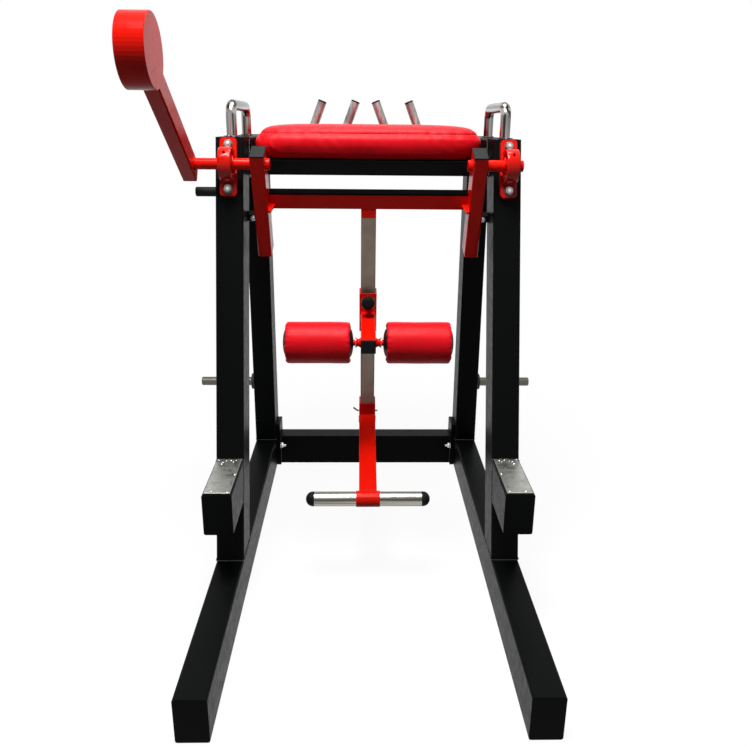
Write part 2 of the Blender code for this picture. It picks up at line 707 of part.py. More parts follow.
def body_pad():
    """Board and padded rest: sides drawn in at the foot, a seam, and a crowned top."""
    board_size = (PAD_WIDTH - 2 * BOARD_MARGIN, PAD_LENGTH - 2 * BOARD_MARGIN, BOARD_THICK)
    board = box_mesh("pad_board", board_size, rounding=PAD_CORNER - BOARD_MARGIN, along="z", segments=4)
    place("pad_board", board, PLYWOOD, (0, PAD_CENTRE_Y, BOARD_BASE + BOARD_THICK / 2), parent=frame)
    bm = bmesh.new()
    rings = []
    for inset, height in pad_profile():
        outline = rounded_outline(PAD_WIDTH / 2 - inset, PAD_LENGTH / 2 - inset, PAD_CORNER, 3, 3)
        rings.append([bm.verts.new((point.x, point.y, height)) for point in outline])
    for lower, upper in zip(rings, rings[1:]):
        for index in range(len(lower)):
            after = (index + 1) % len(lower)
            bm.faces.new((lower[index], lower[after], upper[after], upper[index]))
    bm.faces.new(reversed(rings[0]))
    bm.faces.new(rings[-1])
    mesh = mesh_from(bm, "body_pad")
    mesh.shade_smooth()
    pad = place("body_pad", mesh, RED_VINYL, (0, PAD_CENTRE_Y, PAD_BASE), parent=frame)
    soften = pad.modifiers.new("soft form", "SUBSURF")
    soften.levels = 1
    soften.render_levels = 1


def block_bolt(name, parent, seat, height):
    """Hex bolt with its washer, head outward along local -Y."""
    where = {"location": (0, seat, height), "rotation": ALONG_MINUS_Y, "parent": parent}
    under_head = WASHER_THICK - MERGE
    shank = rod_mesh(name, BOLT_RADIUS, -BOLT_REACH, under_head + BOLT_HEAD_HEIGHT / 2, SMALL_STEPS)
    piece = place(name, shank, ZINC, **where)
    join(piece, rod_mesh(name + "_washer", WASHER_RADIUS, 0, WASHER_THICK, SMALL_STEPS), **where)
    head = rod_mesh(name + "_head", BOLT_HEAD_RADIUS, under_head, under_head + BOLT_HEAD_HEIGHT, HEX_STEPS)
    join(piece, head, **where)


def pillow_blocks():
    """Housing, bearing insert and two bolts on each upright's face."""
    face = BLOCK_CENTRE_HEIGHT - GAP
    race = INSERT_WIDTH / 2
    ring = INSERT_RING_WIDTH / 2
    outer = BLOCK_BORE_RADIUS - GAP
    bore = SHAFT_RADIUS + SHAFT_GAP
    insert_profile = [
        (INSERT_RING_RADIUS, ring), (INSERT_RING_RADIUS, race), (outer - INSERT_CHAMFER, race),
        (outer, race - INSERT_CHAMFER), (outer, INSERT_CHAMFER - race), (outer - INSERT_CHAMFER, -race),
        (INSERT_RING_RADIUS, -race), (INSERT_RING_RADIUS, -ring), (bore, -ring), (bore, ring),
    ]
    for side, sign in SIDES:
        line = bearing_lines[side]
        foot = box_mesh(side + "_pillow_block", (BLOCK_WIDTH, BLOCK_FOOT, BLOCK_LENGTH),
                        (0, face - BLOCK_FOOT / 2, 0), BLOCK_CORNER, "y")
        block = place(side + "_pillow_block", foot, RED_COAT, parent=line)
        web_size = (BLOCK_HUB_WIDTH, face - WELD, 2 * BLOCK_HUB_RADIUS)
        join(block, box_mesh(side + "_web", web_size, (0, web_size[1] / 2, 0)), parent=line)
        half = BLOCK_HUB_WIDTH / 2 + PLATE_EDGE
        hub = rod_mesh(side + "_hub", BLOCK_HUB_RADIUS, -half, half, ROUND_STEPS, PLATE_EDGE)
        join(block, hub, parent=line, rotation=ALONG_X)
        cut(block, rod_mesh(side + "_bore", BLOCK_BORE_RADIUS, -BLOCK_WIDTH, BLOCK_WIDTH), parent=line,
            rotation=ALONG_X)
        for end_name, end in (("lower", -1), ("upper", 1)):
            bolt_at = end * BLOCK_BOLT_SPACING / 2
            hole = rod_mesh(side + "_foot_hole", BOLT_HOLE_RADIUS, -BLOCK_FOOT, BLOCK_FOOT, SMALL_STEPS)
            cut(block, hole, parent=line, location=(0, face - BLOCK_FOOT / 2, bolt_at), rotation=ALONG_MINUS_Y)
            block_bolt(side + "_" + end_name + "_block_bolt", line, face - BLOCK_FOOT - GAP, bolt_at)
        turned(side + "_bearing_insert", insert_profile, BARE_STEEL, ALONG_X, line, closed=True)


def storage_pegs():
    """Steel peg with a rubber flange at the post; it is hollow and open towards the post."""
    inner = PEG_RADIUS - PEG_WALL
    profile = [
        (0, PEG_REACH), (PEG_RADIUS - PEG_CHAMFER, PEG_REACH), (PEG_RADIUS, PEG_REACH - PEG_CHAMFER),
        (PEG_RADIUS, PEG_FLANGE_THICK), (PEG_FLANGE_RADIUS - PEG_CHAMFER, PEG_FLANGE_THICK),
        (PEG_FLANGE_RADIUS, PEG_FLANGE_THICK - PEG_CHAMFER), (PEG_FLANGE_RADIUS, GAP), (inner, GAP),
        (inner, PEG_REACH - PEG_WALL), (0, PEG_REACH - PEG_WALL),
    ]
    for side, sign in SIDES:
        spot = (sign * OUTER_X, POST_Y, PEG_HEIGHT)
        turned(side + "_storage_peg", profile, BRUSHED_STEEL, OUTWARD[side], frame, spot)


def side_peg():
    """Short black peg on the left upright's outer face."""
    height = FRAME_TOP - SIDE_PEG_DROP
    spot = (-OUTER_X, upright_face_y(height) + UPRIGHT_DEPTH / 2, height)
    mesh = rod_mesh("side_peg", SIDE_PEG_RADIUS, GAP, SIDE_PEG_REACH, ROUND_STEPS, SOFT_EDGE)
    place("side_peg", mesh, BLACK_RUBBER, spot, OUTWARD["left"], frame)


def bump_stops():
    """Bars from the uprights' inner faces to just behind the side arms."""
    inner_end = ARM_OUTER_X - STOP_LAP
    outer_end = INNER_X - GAP
    size = (outer_end - inner_end, STOP_SIZE, STOP_SIZE)
    for side, sign in SIDES:
        centre = (sign * (inner_end + outer_end) / 2, ARM_DEPTH / 2 + GAP + STOP_SIZE / 2, -STOP_DROP)
        mesh = box_mesh(side + "_bump_stop", size, centre, STOP_EDGE, segments=1)
        place(side + "_bump_stop", mesh, BLACK_RUBBER, (0, PIVOT_Y, PIVOT_HEIGHT), (ARM_LEAN, 0, 0), frame)


def side_arms():
    """Box tube arms on their shafts, each with a plastic cap plugged into its top."""
    size = (ARM_WIDTH, ARM_DEPTH, ARM_ABOVE + ARM_BELOW)
    cap_size = (ARM_WIDTH, ARM_DEPTH, ARM_CAP_THICK)
    plug_size = (ARM_WIDTH - 2 * (ARM_WALL + PLUG_GAP), ARM_DEPTH - 2 * (ARM_WALL + PLUG_GAP), PLUG_DEPTH)
    cap_low = ARM_ABOVE + GAP
    for side, sign in SIDES:
        centre = (sign * ARM_X, 0, (ARM_ABOVE - ARM_BELOW) / 2)
        arm = box_tube(side + "_side_arm", size, "z", ARM_WALL, ARM_ROUND, (False, True), RED_COAT,
                       centre=centre, parent=arm_line)
        hole = rod_mesh(side + "_arm_hole", SHAFT_RADIUS + SHAFT_GAP, -ARM_WIDTH, ARM_WIDTH)
        cut(arm, hole, location=(sign * ARM_X, 0, 0), rotation=ALONG_X, parent=arm_line)
        cap_at = (sign * ARM_X, 0, cap_low + ARM_CAP_THICK / 2)
        cap = place(side + "_arm_cap", box_mesh(side + "_arm_cap", cap_size, cap_at, SOFT_EDGE),
                    BLACK_PLASTIC, parent=arm_line)
        plug_at = (sign * ARM_X, 0, cap_low + SOFT_EDGE - PLUG_DEPTH / 2)
        join(cap, box_mesh(side + "_arm_plug", plug_size, plug_at), parent=arm_line)


def shafts():
    """Stub shafts; the left one reaches out to the counterweight's arm."""
    outer_ends = {"left": COUNTER_ARM_INNER_X - GAP, "right": SIDE_X + SHAFT_OUTER_REACH}
    for side, sign in SIDES:
        mesh = rod_mesh(side + "_shaft", SHAFT_RADIUS, ARM_INNER_X - SHAFT_INNER_REACH, outer_ends[side],
                        ROUND_STEPS, PLATE_EDGE)
        place(side + "_shaft", mesh, RED_COAT, rotation=OUTWARD[side], parent=pivot)


def pendulum_crossbar():
    """Box tube between the arms, a gusset in each corner and the stub for the square tube."""
    size = (2 * (ARM_INNER_X - GAP), CROSSBAR_DEPTH, CROSSBAR_HEIGHT)
    centre = (0, CROSSBAR_Y, -CROSSBAR_DROP)
    bar = box_tube("pendulum_crossbar", size, "x", BEAM_WALL, ARM_ROUND, (True, True), RED_COAT,
                   centre=centre, parent=arm_line)
    front = CROSSBAR_Y - CROSSBAR_DEPTH / 2 + WELD
    tip = front - GUSSET_REACH
    for sign in (-1, 1):
        corner = sign * (ARM_INNER_X - GAP)
        tip_corner = corner - sign * GUSSET_TIP
        points = [(corner, front), (corner, tip), (tip_corner, tip), (corner - sign * GUSSET_WIDTH, front)]
        join(bar, plate_mesh("gusset", points, GUSSET_THICK), location=(0, 0, -GUSSET_DROP), parent=arm_line)
    stub_mesh = box_mesh("stub", (BAR_SIZE, BAR_SIZE, STUB_END), (0, 0, -STUB_END / 2), BAR_ROUND, "z")
    stub = join(bar, stub_mesh, parent=hang_line)
    above = box_mesh("above_stub", (CUT_REACH, CUT_REACH, CUT_REACH), (0, 0, CUT_REACH / 2))
    underside = WELD - CROSSBAR_DROP - CROSSBAR_HEIGHT / 2
    cut(stub, above, location=(0, CROSSBAR_Y, underside), parent=arm_line)


def pendulum_tube():
    """Square steel tube, open at its welded top, with the hitch pin's holes."""
    low = -BAR_END
    high = -STUB_END - GAP
    tube = box_tube("pendulum_tube", (BAR_SIZE, BAR_SIZE, high - low), "z", BAR_WALL, BAR_ROUND,
                    (False, True), BRUSHED_STEEL, centre=(0, 0, (low + high) / 2), parent=hang_line)
    for step in range(PIN_HOLES):
        hole = rod_mesh("tube_hole", PIN_HOLE_RADIUS, -BAR_SIZE, BAR_SIZE, SMALL_STEPS)
        cut(tube, hole, location=(0, 0, step * PIN_PITCH - LEVER_CENTRE), rotation=ALONG_X, parent=hang_line)


def counterweight():
    """Arm and round weight on the left shaft."""
    arm_x = -COUNTER_ARM_INNER_X - COUNTER_ARM_WIDTH / 2
    high = COUNTER_DISTANCE - COUNTER_RADIUS + COUNTER_ARM_DEPTH / 4
    size = (COUNTER_ARM_WIDTH, COUNTER_ARM_DEPTH, high + COUNTER_TAIL)
    arm = box_tube("counterweight_arm", size, "z", ARM_WALL, ARM_ROUND, (False, True), RED_COAT,
                   centre=(arm_x, 0, (high - COUNTER_TAIL) / 2), parent=counter_line)
    seat = rod_mesh("counterweight_seat", COUNTER_RADIUS + GAP, -CUT_REACH, CUT_REACH, DRUM_STEPS)
    cut(arm, seat, location=(arm_x, 0, COUNTER_DISTANCE), rotation=ALONG_X, parent=counter_line)
    half = COUNTER_WIDTH / 2
    middle = COUNTER_OVERHANG - COUNTER_ARM_INNER_X - half
    drum = rod_mesh("counterweight", COUNTER_RADIUS, -half, half, DRUM_STEPS, COUNTER_CHAMFER)
    place("counterweight", drum, RED_COAT, (middle, 0, COUNTER_DISTANCE), ALONG_X, counter_line)


def roller_carriage():
    """Collar, forward tube and the boss of the clamping knob, one weldment."""
    size = (COLLAR_SIZE, COLLAR_SIZE, CARRIAGE_LENGTH)
    body = place("roller_carriage", box_mesh("roller_carriage", size, rounding=BAR_ROUND, along="z"),
                 RED_COAT, parent=carriage)
    open_end = ROLLER_CAP_THICK + GAP - ROLLER_TUBE_LENGTH
    root_end = 2 * COLLAR_WALL
    tube_size = (ROLLER_TUBE_SIZE, root_end - open_end, ROLLER_TUBE_SIZE)
    tube_centre = (0, (root_end + open_end) / 2, 0)
    join(body, box_mesh("roller_tube", tube_size, tube_centre, BAR_ROUND, "y"), parent=roller_tube_line)
    boss = rod_mesh("knob_boss", KNOB_BOSS_RADIUS, -WELD, KNOB_BOSS_HEIGHT, SMALL_STEPS)
    join(body, boss, rotation=ALONG_MINUS_Y, parent=knob_line)
    inside = (COLLAR_HOLE, COLLAR_HOLE, 2 * CARRIAGE_LENGTH)
    cut(body, box_mesh("carriage_inside", inside, rounding=COLLAR_INSIDE_EDGE, along="z", segments=1),
        parent=carriage)
    hollow(body, tube_size, "y", BAR_WALL, open_end - WELD, -BAR_WALL, parent=roller_tube_line)
    hole = rod_mesh("axle_hole", AXLE_RADIUS + GAP, -ROLLER_TUBE_SIZE, ROLLER_TUBE_SIZE)
    cut(body, hole, rotation=ALONG_X, parent=axle_line)
    stud_hole = rod_mesh("stud_hole", KNOB_STUD_RADIUS + SLIDE_GAP, -2 * COLLAR_WALL, 2 * KNOB_BOSS_HEIGHT,
                         SMALL_STEPS)
    cut(body, stud_hole, rotation=ALONG_MINUS_Y, parent=knob_line)


def roller_tube_cap_and_axle():
    front = ROLLER_CAP_THICK / 2 - ROLLER_TUBE_LENGTH
    cap_size = (ROLLER_TUBE_SIZE, ROLLER_CAP_THICK, ROLLER_TUBE_SIZE)
    cap = place("roller_tube_cap", box_mesh("roller_tube_cap", cap_size, (0, front, 0), SOFT_EDGE),
                BLACK_PLASTIC, parent=roller_tube_line)
    plug_side = ROLLER_TUBE_SIZE - 2 * (BAR_WALL + PLUG_GAP)
    plug = box_mesh("tube_plug", (plug_side, PLUG_DEPTH, plug_side), (0, front + PLUG_DEPTH / 2, 0))
    join(cap, plug, parent=roller_tube_line)
    axle = rod_mesh("roller_axle", AXLE_RADIUS, -AXLE_HALF, AXLE_HALF, ROUND_STEPS, PLATE_EDGE)
    place("roller_axle", axle, RED_COAT, rotation=ALONG_X, parent=axle_line)


def clamp_knob():
    """Round knob on a threaded stud that clamps the carriage to the square tube."""
    head_start = KNOB_LENGTH - KNOB_HEAD
    stud_end = GAP - COLLAR_WALL - SLIDE_GAP
    shoulder = (KNOB_RADIUS - KNOB_NECK_RADIUS, KNOB_CROWN)
    profile = [(0, KNOB_LENGTH)]
    profile += arc((KNOB_NECK_RADIUS, KNOB_LENGTH - KNOB_CROWN), shoulder, 90, 0, 3)
    profile += arc((KNOB_NECK_RADIUS, head_start + KNOB_CROWN), shoulder, 0, -90, 3)
    profile += [
        (KNOB_NECK_RADIUS, KNOB_NECK_START), (KNOB_STUD_RADIUS, KNOB_NECK_START), (KNOB_STUD_RADIUS, stud_end),
        (0, stud_end),
    ]
    turned("clamp_knob", profile, BLACK_PLASTIC, ALONG_MINUS_Y, knob_line)


def padded_rollers():
    """Barrel-shaped padding with round shoulders on a plastic spool."""
    bore = SPOOL_CORE_RADIUS + GAP
    shoulder = (FOAM_SHOULDER, FOAM_SHOULDER)
    waist = FOAM_RADIUS - FOAM_SHOULDER
    foam = arc((waist, FOAM_END - FOAM_SHOULDER), shoulder, 90, 0, 4)
    for share in (0.75, 0.5, 0.25):
        swell = FOAM_CROWN * (1 - (2 * share - 1) ** 2)
        foam.append((FOAM_RADIUS + swell, FOAM_START + share * FOAM_LENGTH))
    foam += arc((waist, FOAM_START + FOAM_SHOULDER), shoulder, 0, -90, 4)
    foam += [(bore, FOAM_START), (bore, FOAM_END)]
    dome = (SPOOL_FLANGE_RADIUS, SPOOL_DOME)
    axle_bore = AXLE_RADIUS + SPOOL_BORE_GAP
    bore_end = FOAM_END + GAP + SPOOL_DOME - SPOOL_END_WALL
    inner_dome = arc((0, FOAM_START - GAP), dome, 0, -75, 4)
    spool = arc((0, FOAM_END + GAP), dome, 90, 0, 5)
    spool += [(SPOOL_CORE_RADIUS, FOAM_END + GAP), (SPOOL_CORE_RADIUS, FOAM_START - GAP)]
    spool += inner_dome
    spool += [(axle_bore, inner_dome[-1][1]), (axle_bore, bore_end), (0, bore_end)]
    for side, sign in SIDES:
        turned(side + "_roller_foam", foam, RED_VINYL, OUTWARD[side], axle_line, closed=True)
        turned(side + "_roller_spool", spool, BLACK_PLASTIC, OUTWARD[side], axle_line)


def lower_lever():
    """Collar, lever and the sleeve that holds the foot bar, one weldment."""
    size = (COLLAR_SIZE, COLLAR_SIZE, LEVER_COLLAR_LENGTH)
    body = place("lower_lever", box_mesh("lower_lever", size, rounding=BAR_ROUND, along="z"), RED_COAT,
                 parent=lever)
    root_end = 2 * COLLAR_WALL
    tube_size = (LEVER_WIDTH, LEVER_LENGTH + root_end, LEVER_DEPTH)
    tube_centre = (0, root_end - tube_size[1] / 2, 0)
    join(body, box_mesh("lever_tube", tube_size, tube_centre, BAR_ROUND, "y"), parent=lever_line)
    half = SLEEVE_LENGTH / 2
    sleeve = rod_mesh("lever_sleeve", SLEEVE_RADIUS, -half, half, ROUND_STEPS, PLATE_EDGE)
    join(body, sleeve, rotation=ALONG_X, parent=foot_bar_line)
    inside = (COLLAR_HOLE, COLLAR_HOLE, 2 * LEVER_COLLAR_LENGTH)
    cut(body, box_mesh("lever_inside", inside, rounding=COLLAR_INSIDE_EDGE, along="z", segments=1),
        parent=lever)
    hollow(body, tube_size, "y", BAR_WALL, -LEVER_LENGTH, -BAR_WALL, parent=lever_line)
    bore = rod_mesh("sleeve_bore", FOOT_BAR_RADIUS + GAP, -SLEEVE_LENGTH, SLEEVE_LENGTH)
    cut(body, bore, rotation=ALONG_X, parent=foot_bar_line)
    pin_hole = rod_mesh("collar_hole", PIN_HOLE_RADIUS, -COLLAR_SIZE, COLLAR_SIZE, SMALL_STEPS)
    cut(body, pin_hole, rotation=ALONG_X, parent=lever)


def foot_bar():
    """Steel bar through the lever's sleeve, with a domed rubber cap on each end."""
    half = FOOT_BAR_LENGTH / 2
    inner = FOOT_BAR_RADIUS - FOOT_BAR_WALL
    tube = [(FOOT_BAR_RADIUS, half), (FOOT_BAR_RADIUS, -half), (inner, -half), (inner, half)]
    turned("foot_bar", tube, BRUSHED_STEEL, ALONG_X, foot_bar_line, closed=True)
    plug = inner - SLIDE_GAP
    start = half + GAP
    cap = arc((0, start + FOOT_CAP_RIM), (FOOT_BAR_RADIUS, FOOT_CAP_DOME), 90, 0, 5)
    cap += [(FOOT_BAR_RADIUS, start), (plug, start), (plug, start - PLUG_DEPTH), (0, start - PLUG_DEPTH)]
    for side, sign in SIDES:
        turned(side + "_foot_bar_cap", cap, BLACK_RUBBER, OUTWARD[side], foot_bar_line)


def hitch_pin():
    """Wire pin through the collar and the square tube, bent to a pull on its left."""
    bend = Vector((-PIN_LEFT_REACH, 0, 0))
    corners = [(PIN_RIGHT_REACH, 0, 0), bend, bend + Vector(PIN_PULL)]
    bent_rod("hitch_pin", rounded_path(corners, PIN_BEND, 4), PIN_RADIUS, ZINC, lever, resolution=2)


base_rails()
front_uprights()
rear_posts()
top_beams()
rear_cross_member()
foot_steps()
pad_beams()
grip_bar_and_grips()
u_handles()
body_pad()
pillow_blocks()
storage_pegs()
side_peg()
bump_stops()
side_arms()
shafts()
pendulum_crossbar()
pendulum_tube()
counterweight()
roller_carriage()
roller_tube_cap_and_axle()
clamp_knob()
padded_rollers()
lower_lever()
foot_bar()
hitch_pin()
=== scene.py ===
"""Looks of the reverse hyperextension machine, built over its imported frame."""
import json
import math
import random

import bmesh
import bpy
from mathutils import Matrix, Vector, noise
from mathutils.bvhtree import BVHTree
from mathutils.kdtree import KDTree


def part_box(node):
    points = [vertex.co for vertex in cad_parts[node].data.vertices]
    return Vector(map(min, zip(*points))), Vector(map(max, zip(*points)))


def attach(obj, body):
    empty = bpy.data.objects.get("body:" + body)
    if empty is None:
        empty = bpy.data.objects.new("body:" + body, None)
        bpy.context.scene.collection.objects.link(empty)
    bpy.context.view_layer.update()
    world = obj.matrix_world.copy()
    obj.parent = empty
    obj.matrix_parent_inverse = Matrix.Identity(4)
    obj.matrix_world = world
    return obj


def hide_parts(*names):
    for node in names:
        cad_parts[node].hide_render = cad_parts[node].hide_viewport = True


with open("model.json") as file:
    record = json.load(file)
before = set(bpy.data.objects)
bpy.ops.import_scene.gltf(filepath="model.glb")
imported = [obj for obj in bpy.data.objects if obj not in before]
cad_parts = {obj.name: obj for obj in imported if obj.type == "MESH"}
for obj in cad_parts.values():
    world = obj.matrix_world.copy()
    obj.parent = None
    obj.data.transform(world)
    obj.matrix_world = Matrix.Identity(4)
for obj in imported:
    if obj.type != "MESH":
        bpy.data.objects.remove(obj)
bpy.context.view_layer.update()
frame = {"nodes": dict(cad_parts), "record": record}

nodes = frame["nodes"]
chance = random.Random(7)

# Places, sizes and leans of the machine's parts and of what is added (metres, radians)
FRAME_TOP = 1.295
TUBE_W = 0.080
TUBE_H = 0.120
SIDE_X = 0.4025
OUTER_X = 0.4425
REAR_Y = 0.7825
LEAN = math.radians(17.0)
FOOT_Y = -0.224
DEPTH = TUBE_H / math.cos(LEAN)
BEAM_END_X = 0.3615
CROSS_MEMBER_END = (0.3475, 0.7425, 0.0605)
FLANGE_BOLT_Y = 0.6925
STEP_TOP = 0.4083
HANDLE_LEGS = (0.125, 0.430)
GRIP_Y = 0.7575
GRIP_SHIFT = -0.006
GRIP_REACH = (0.036, 0.156)
GRIP_RISE = 0.116
GRIP_LEAN = math.radians(21.0)
PIVOT = Vector((0, 0.063752, 1.224))
ARM_LEAN = math.radians(22.0)
ARM_FACE_X = 0.2912
COUNTER_LEAN = math.radians(33.5)
COUNTER_REACH = 0.470
COUNTER_RADIUS = 0.0835
HANG_LEAN = math.radians(7.5)
HANG = Vector((0, 0.142444, 1.117311))
COLLAR_FRONT = -0.0269
LEVER_ROOT = -0.727
LEVER_LEAN = math.radians(13.0)
AXLE = Vector((0, 0.023494, 0.713401))
PAD_SEAM = 0.0625
PAD_BULGE = 0.034
PAD_FLAT_HALF_WIDTH = 0.262
PAD_FLAT_HALF_LENGTH = 0.196
PAD_HALF_WIDTH = 0.3415
PAD_HALF_LENGTH = 0.275
BLOCK_FACE = 0.0290
BLOCK_BOLT = 0.0635
HOUSING_RADIUS = 0.0454
FOAM_LENGTH = 0.186
COVER_RADIUS = 0.0622

# Weld beads: distance between their rings, sides of a ring, and length of a scale
BEAD_STEP = 0.0011
BEAD_SIDES = 7
BEAD_PITCH = 0.0046

# The pad's stitches: distance from the seam, length with its gap, and length
STITCH_OFFSET = 0.0058
STITCH_PITCH = 0.0066
STITCH_LENGTH = 0.0044

# Cloth: frames it runs for, and its pressure
CLOTH_FRAMES = 20
CLOTH_PRESSURE = 4.0

# Light from all round for rays that don't see the white surroundings
SURROUNDING_LIGHT = 0.09

SIGNS = (-1, 1)
SIDES = ((-1, "left"), (1, "right"))

# The photograph's camera
PITCH = math.radians(18.54)
TURN = math.radians(1.332)
ROLL = math.radians(0.545)
EYE = Vector((-0.0264, -2.144, 1.3354))
ahead = Vector((math.sin(TURN) * math.cos(PITCH), math.cos(TURN) * math.cos(PITCH),
                -math.sin(PITCH)))
level = Vector((math.cos(TURN), -math.sin(TURN), 0.0))
above = level.cross(ahead)
across = level * math.cos(ROLL) + above * math.sin(ROLL)
upward = above * math.cos(ROLL) - level * math.sin(ROLL)
lens = bpy.data.cameras.new("camera")
lens.sensor_width = 36
lens.lens = 36.03
lens.clip_end = 60
camera = bpy.data.objects.new("camera", lens)
camera.matrix_world = (Matrix.Translation(EYE)
                       @ Matrix((across, upward, -ahead)).transposed().to_4x4())
bpy.context.scene.collection.objects.link(camera)
bpy.context.scene.camera = camera
bpy.context.scene.view_settings.view_transform = "Standard"


def add_node(tree, kind, values=(), **settings):
    """A node with its settings; each value is a number, a colour or the socket that feeds it."""
    made = tree.nodes.new(kind)
    for key, value in settings.items():
        setattr(made, key, value)
    for key, value in dict(values).items():
        if isinstance(value, bpy.types.NodeSocket):
            tree.links.new(value, made.inputs[key])
        else:
            made.inputs[key].default_value = value
    return made


class Surface:
    """A Principled material, with short ways to build the nodes that feed it."""

    def __init__(self, name, colour, roughness, metallic=0.0, constants=()):
        self.material = bpy.data.materials.new(name)
        self.material.use_nodes = True
        self.tree = self.material.node_tree
        self.shader = self.tree.nodes["Principled BSDF"]
        self.shader.inputs["Base Color"].default_value = (*colour, 1)
        self.shader.inputs["Roughness"].default_value = roughness
        self.shader.inputs["Metallic"].default_value = metallic
        for socket, value in dict(constants).items():
            self.shader.inputs[socket].default_value = value
        self.normal = None

    def add(self, kind, values=(), **settings):
        return add_node(self.tree, kind, values, **settings)

    def space(self, turn=0.0, stretch=(1, 1, 1)):
        """Object coordinates, turned back about X and then stretched."""
        place = self.add("ShaderNodeTexCoord").outputs["Object"]
        turned = self.add("ShaderNodeMapping", {"Vector": place, "Rotation": (turn, 0, 0)})
        stretched = {"Vector": turned.outputs[0], "Scale": stretch}
        return self.add("ShaderNodeMapping", stretched).outputs[0]

    def noise(self, vector, scale, detail=3.0, rough=0.55):
        values = {"Vector": vector, "Scale": scale, "Detail": detail, "Roughness": rough}
        return self.add("ShaderNodeTexNoise", values).outputs[0]

    def cells(self, vector, scale):
        """Distance to the edge of irregular cells."""
        values = {"Vector": vector, "Scale": scale}
        return self.add("ShaderNodeTexVoronoi", values, feature="DISTANCE_TO_EDGE").outputs[0]

    def remap(self, value, low, high, to_low, to_high):
        values = {"Value": value, "From Min": low, "From Max": high, "To Min": to_low,
                  "To Max": to_high}
        return self.add("ShaderNodeMapRange", values).outputs[0]

    def maths(self, operation, first, second=0.0):
        return self.add("ShaderNodeMath", {0: first, 1: second}, operation=operation).outputs[0]

    def mix(self, factor, first, second):
        colours = [(*c, 1) if isinstance(c, tuple) else c for c in (first, second)]
        values = {0: factor, 6: colours[0], 7: colours[1]}
        return self.add("ShaderNodeMix", values, data_type="RGBA").outputs[2]

    def feed(self, socket, value):
        self.tree.links.new(value, self.shader.inputs[socket])

    def bump(self, height, strength, distance):
        values = {"Height": height, "Strength": strength, "Distance": distance}
        if self.normal is not None:
            values["Normal"] = self.normal
        self.normal = self.add("ShaderNodeBump", values).outputs[0]
        self.feed("Normal", self.normal)


def shade(colour, factor):
    """A colour made lighter or darker."""
    return tuple(min(1.0, part * factor) for part in colour)


def powder_coat(name, colour, roughness, specular, peel):
    """Baked powder coat: orange peel, faint clouding and uneven gloss."""
    coat = Surface(name, colour, roughness, constants={"Specular IOR Level": specular})
    space = coat.space()
    cloud = coat.remap(coat.noise(space, 7.0, 4.0), 0.35, 0.65, 0.0, 1.0)
    coat.feed("Base Color", coat.mix(cloud, shade(colour, 0.94), shade(colour, 1.05)))
    gloss = coat.noise(space, 46.0, 5.0, 0.65)
    coat.feed("Roughness", coat.remap(gloss, 0.3, 0.7, roughness - 0.06, roughness + 0.08))
    coat.bump(coat.noise(space, 620.0, 2.0), peel, 0.0004)
    coat.bump(coat.noise(space, 150.0, 2.0), peel * 0.5, 0.0006)
    return coat.material


def coated_fabric(name, colour):
    """Grained fabric over foam: pebble grain with painted shade in its valleys, soft creases and a
    slight change of colour.
    """
    vinyl = Surface(name, colour, 0.42, constants={"Specular IOR Level": 0.11})
    space = vinyl.space()
    cloud = vinyl.remap(vinyl.noise(space, 9.0, 4.0), 0.3, 0.7, 0.0, 1.0)
    pebble = vinyl.cells(space, 620.0)
    grain = vinyl.remap(pebble, 0.0, 0.22, 0.0, 1.0)
    tone = vinyl.mix(cloud, shade(colour, 0.90), shade(colour, 1.06))
    # Painted shade: the pebble grain's valleys are up to 12% darker
    light = vinyl.remap(grain, 0.0, 1.0, 0.88, 1.0)
    vinyl.feed("Base Color", vinyl.mix(light, (0.0, 0.0, 0.0), tone))
    vinyl.feed("Roughness", vinyl.remap(vinyl.noise(space, 70.0, 4.0), 0.3, 0.7, 0.36, 0.50))
    vinyl.bump(grain, 0.22, 0.0003)
    vinyl.bump(vinyl.noise(space, 42.0, 5.0, 0.6), 0.10, 0.0020)
    return vinyl.material


def brushed(name, colour, dark, roughness, turn, stretch, lift=0.10):
    """Metal with fine lines along its length and blotches."""
    metal = Surface(name, colour, roughness, 1.0)
    lines = metal.noise(metal.space(turn, stretch), 1.0, 6.0, 0.7)
    space = metal.space()
    blotch = metal.remap(metal.noise(space, 16.0, 5.0, 0.6), 0.35, 0.7, 0.0, 1.0)
    streak = metal.remap(lines, 0.3, 0.7, 0.0, 1.0)
    tone = metal.mix(streak, dark, colour)
    metal.feed("Base Color", metal.mix(blotch, shade(dark, 0.95), tone))
    metal.feed("Roughness", metal.remap(lines, 0.3, 0.7, roughness - 0.06, roughness + 0.09))
    metal.bump(lines, lift, 0.0002)
    return metal.material


def handle_painted_reflections(metal):
    """Painted reflection bands along a handle's legs and, higher up, along its top."""
    legs = metal.noise(metal.space(0.0, (85.0, 85.0, 1.5)), 1.0, 2.0, 0.5)
    top = metal.noise(metal.space(0.0, (85.0, 1.5, 85.0)), 1.0, 2.0, 0.5)
    height = metal.add("ShaderNodeSeparateXYZ", {0: metal.space()}).outputs[2]
    choose = metal.remap(height, FRAME_TOP + 0.060, FRAME_TOP + 0.078, 0.0, 1.0)
    return metal.add("ShaderNodeMix", {0: choose, 2: legs, 3: top}).outputs[0]


def bar_painted_reflections(metal):
    """Painted reflection bands along X."""
    return metal.noise(metal.space(0.0, (1.5, 110.0, 110.0)), 1.0, 2.0, 0.5)


def chrome_tube(name, bright, dark, reflection_bands):
    """Polished tube with painted reflections: soft light and dark bands in its base colour."""
    metal = Surface(name, bright, 0.16, 1.0)
    lines = reflection_bands(metal)
    # Painted reflections: the bands mix the dark and bright base colours
    metal.feed("Base Color", metal.mix(metal.remap(lines, 0.40, 0.58, 0.0, 1.0), dark, bright))
    haze = metal.noise(metal.space(), 60.0, 4.0)
    metal.feed("Roughness", metal.remap(haze, 0.3, 0.7, 0.14, 0.22))
    metal.bump(lines, 0.03, 0.0008)
    return metal.material


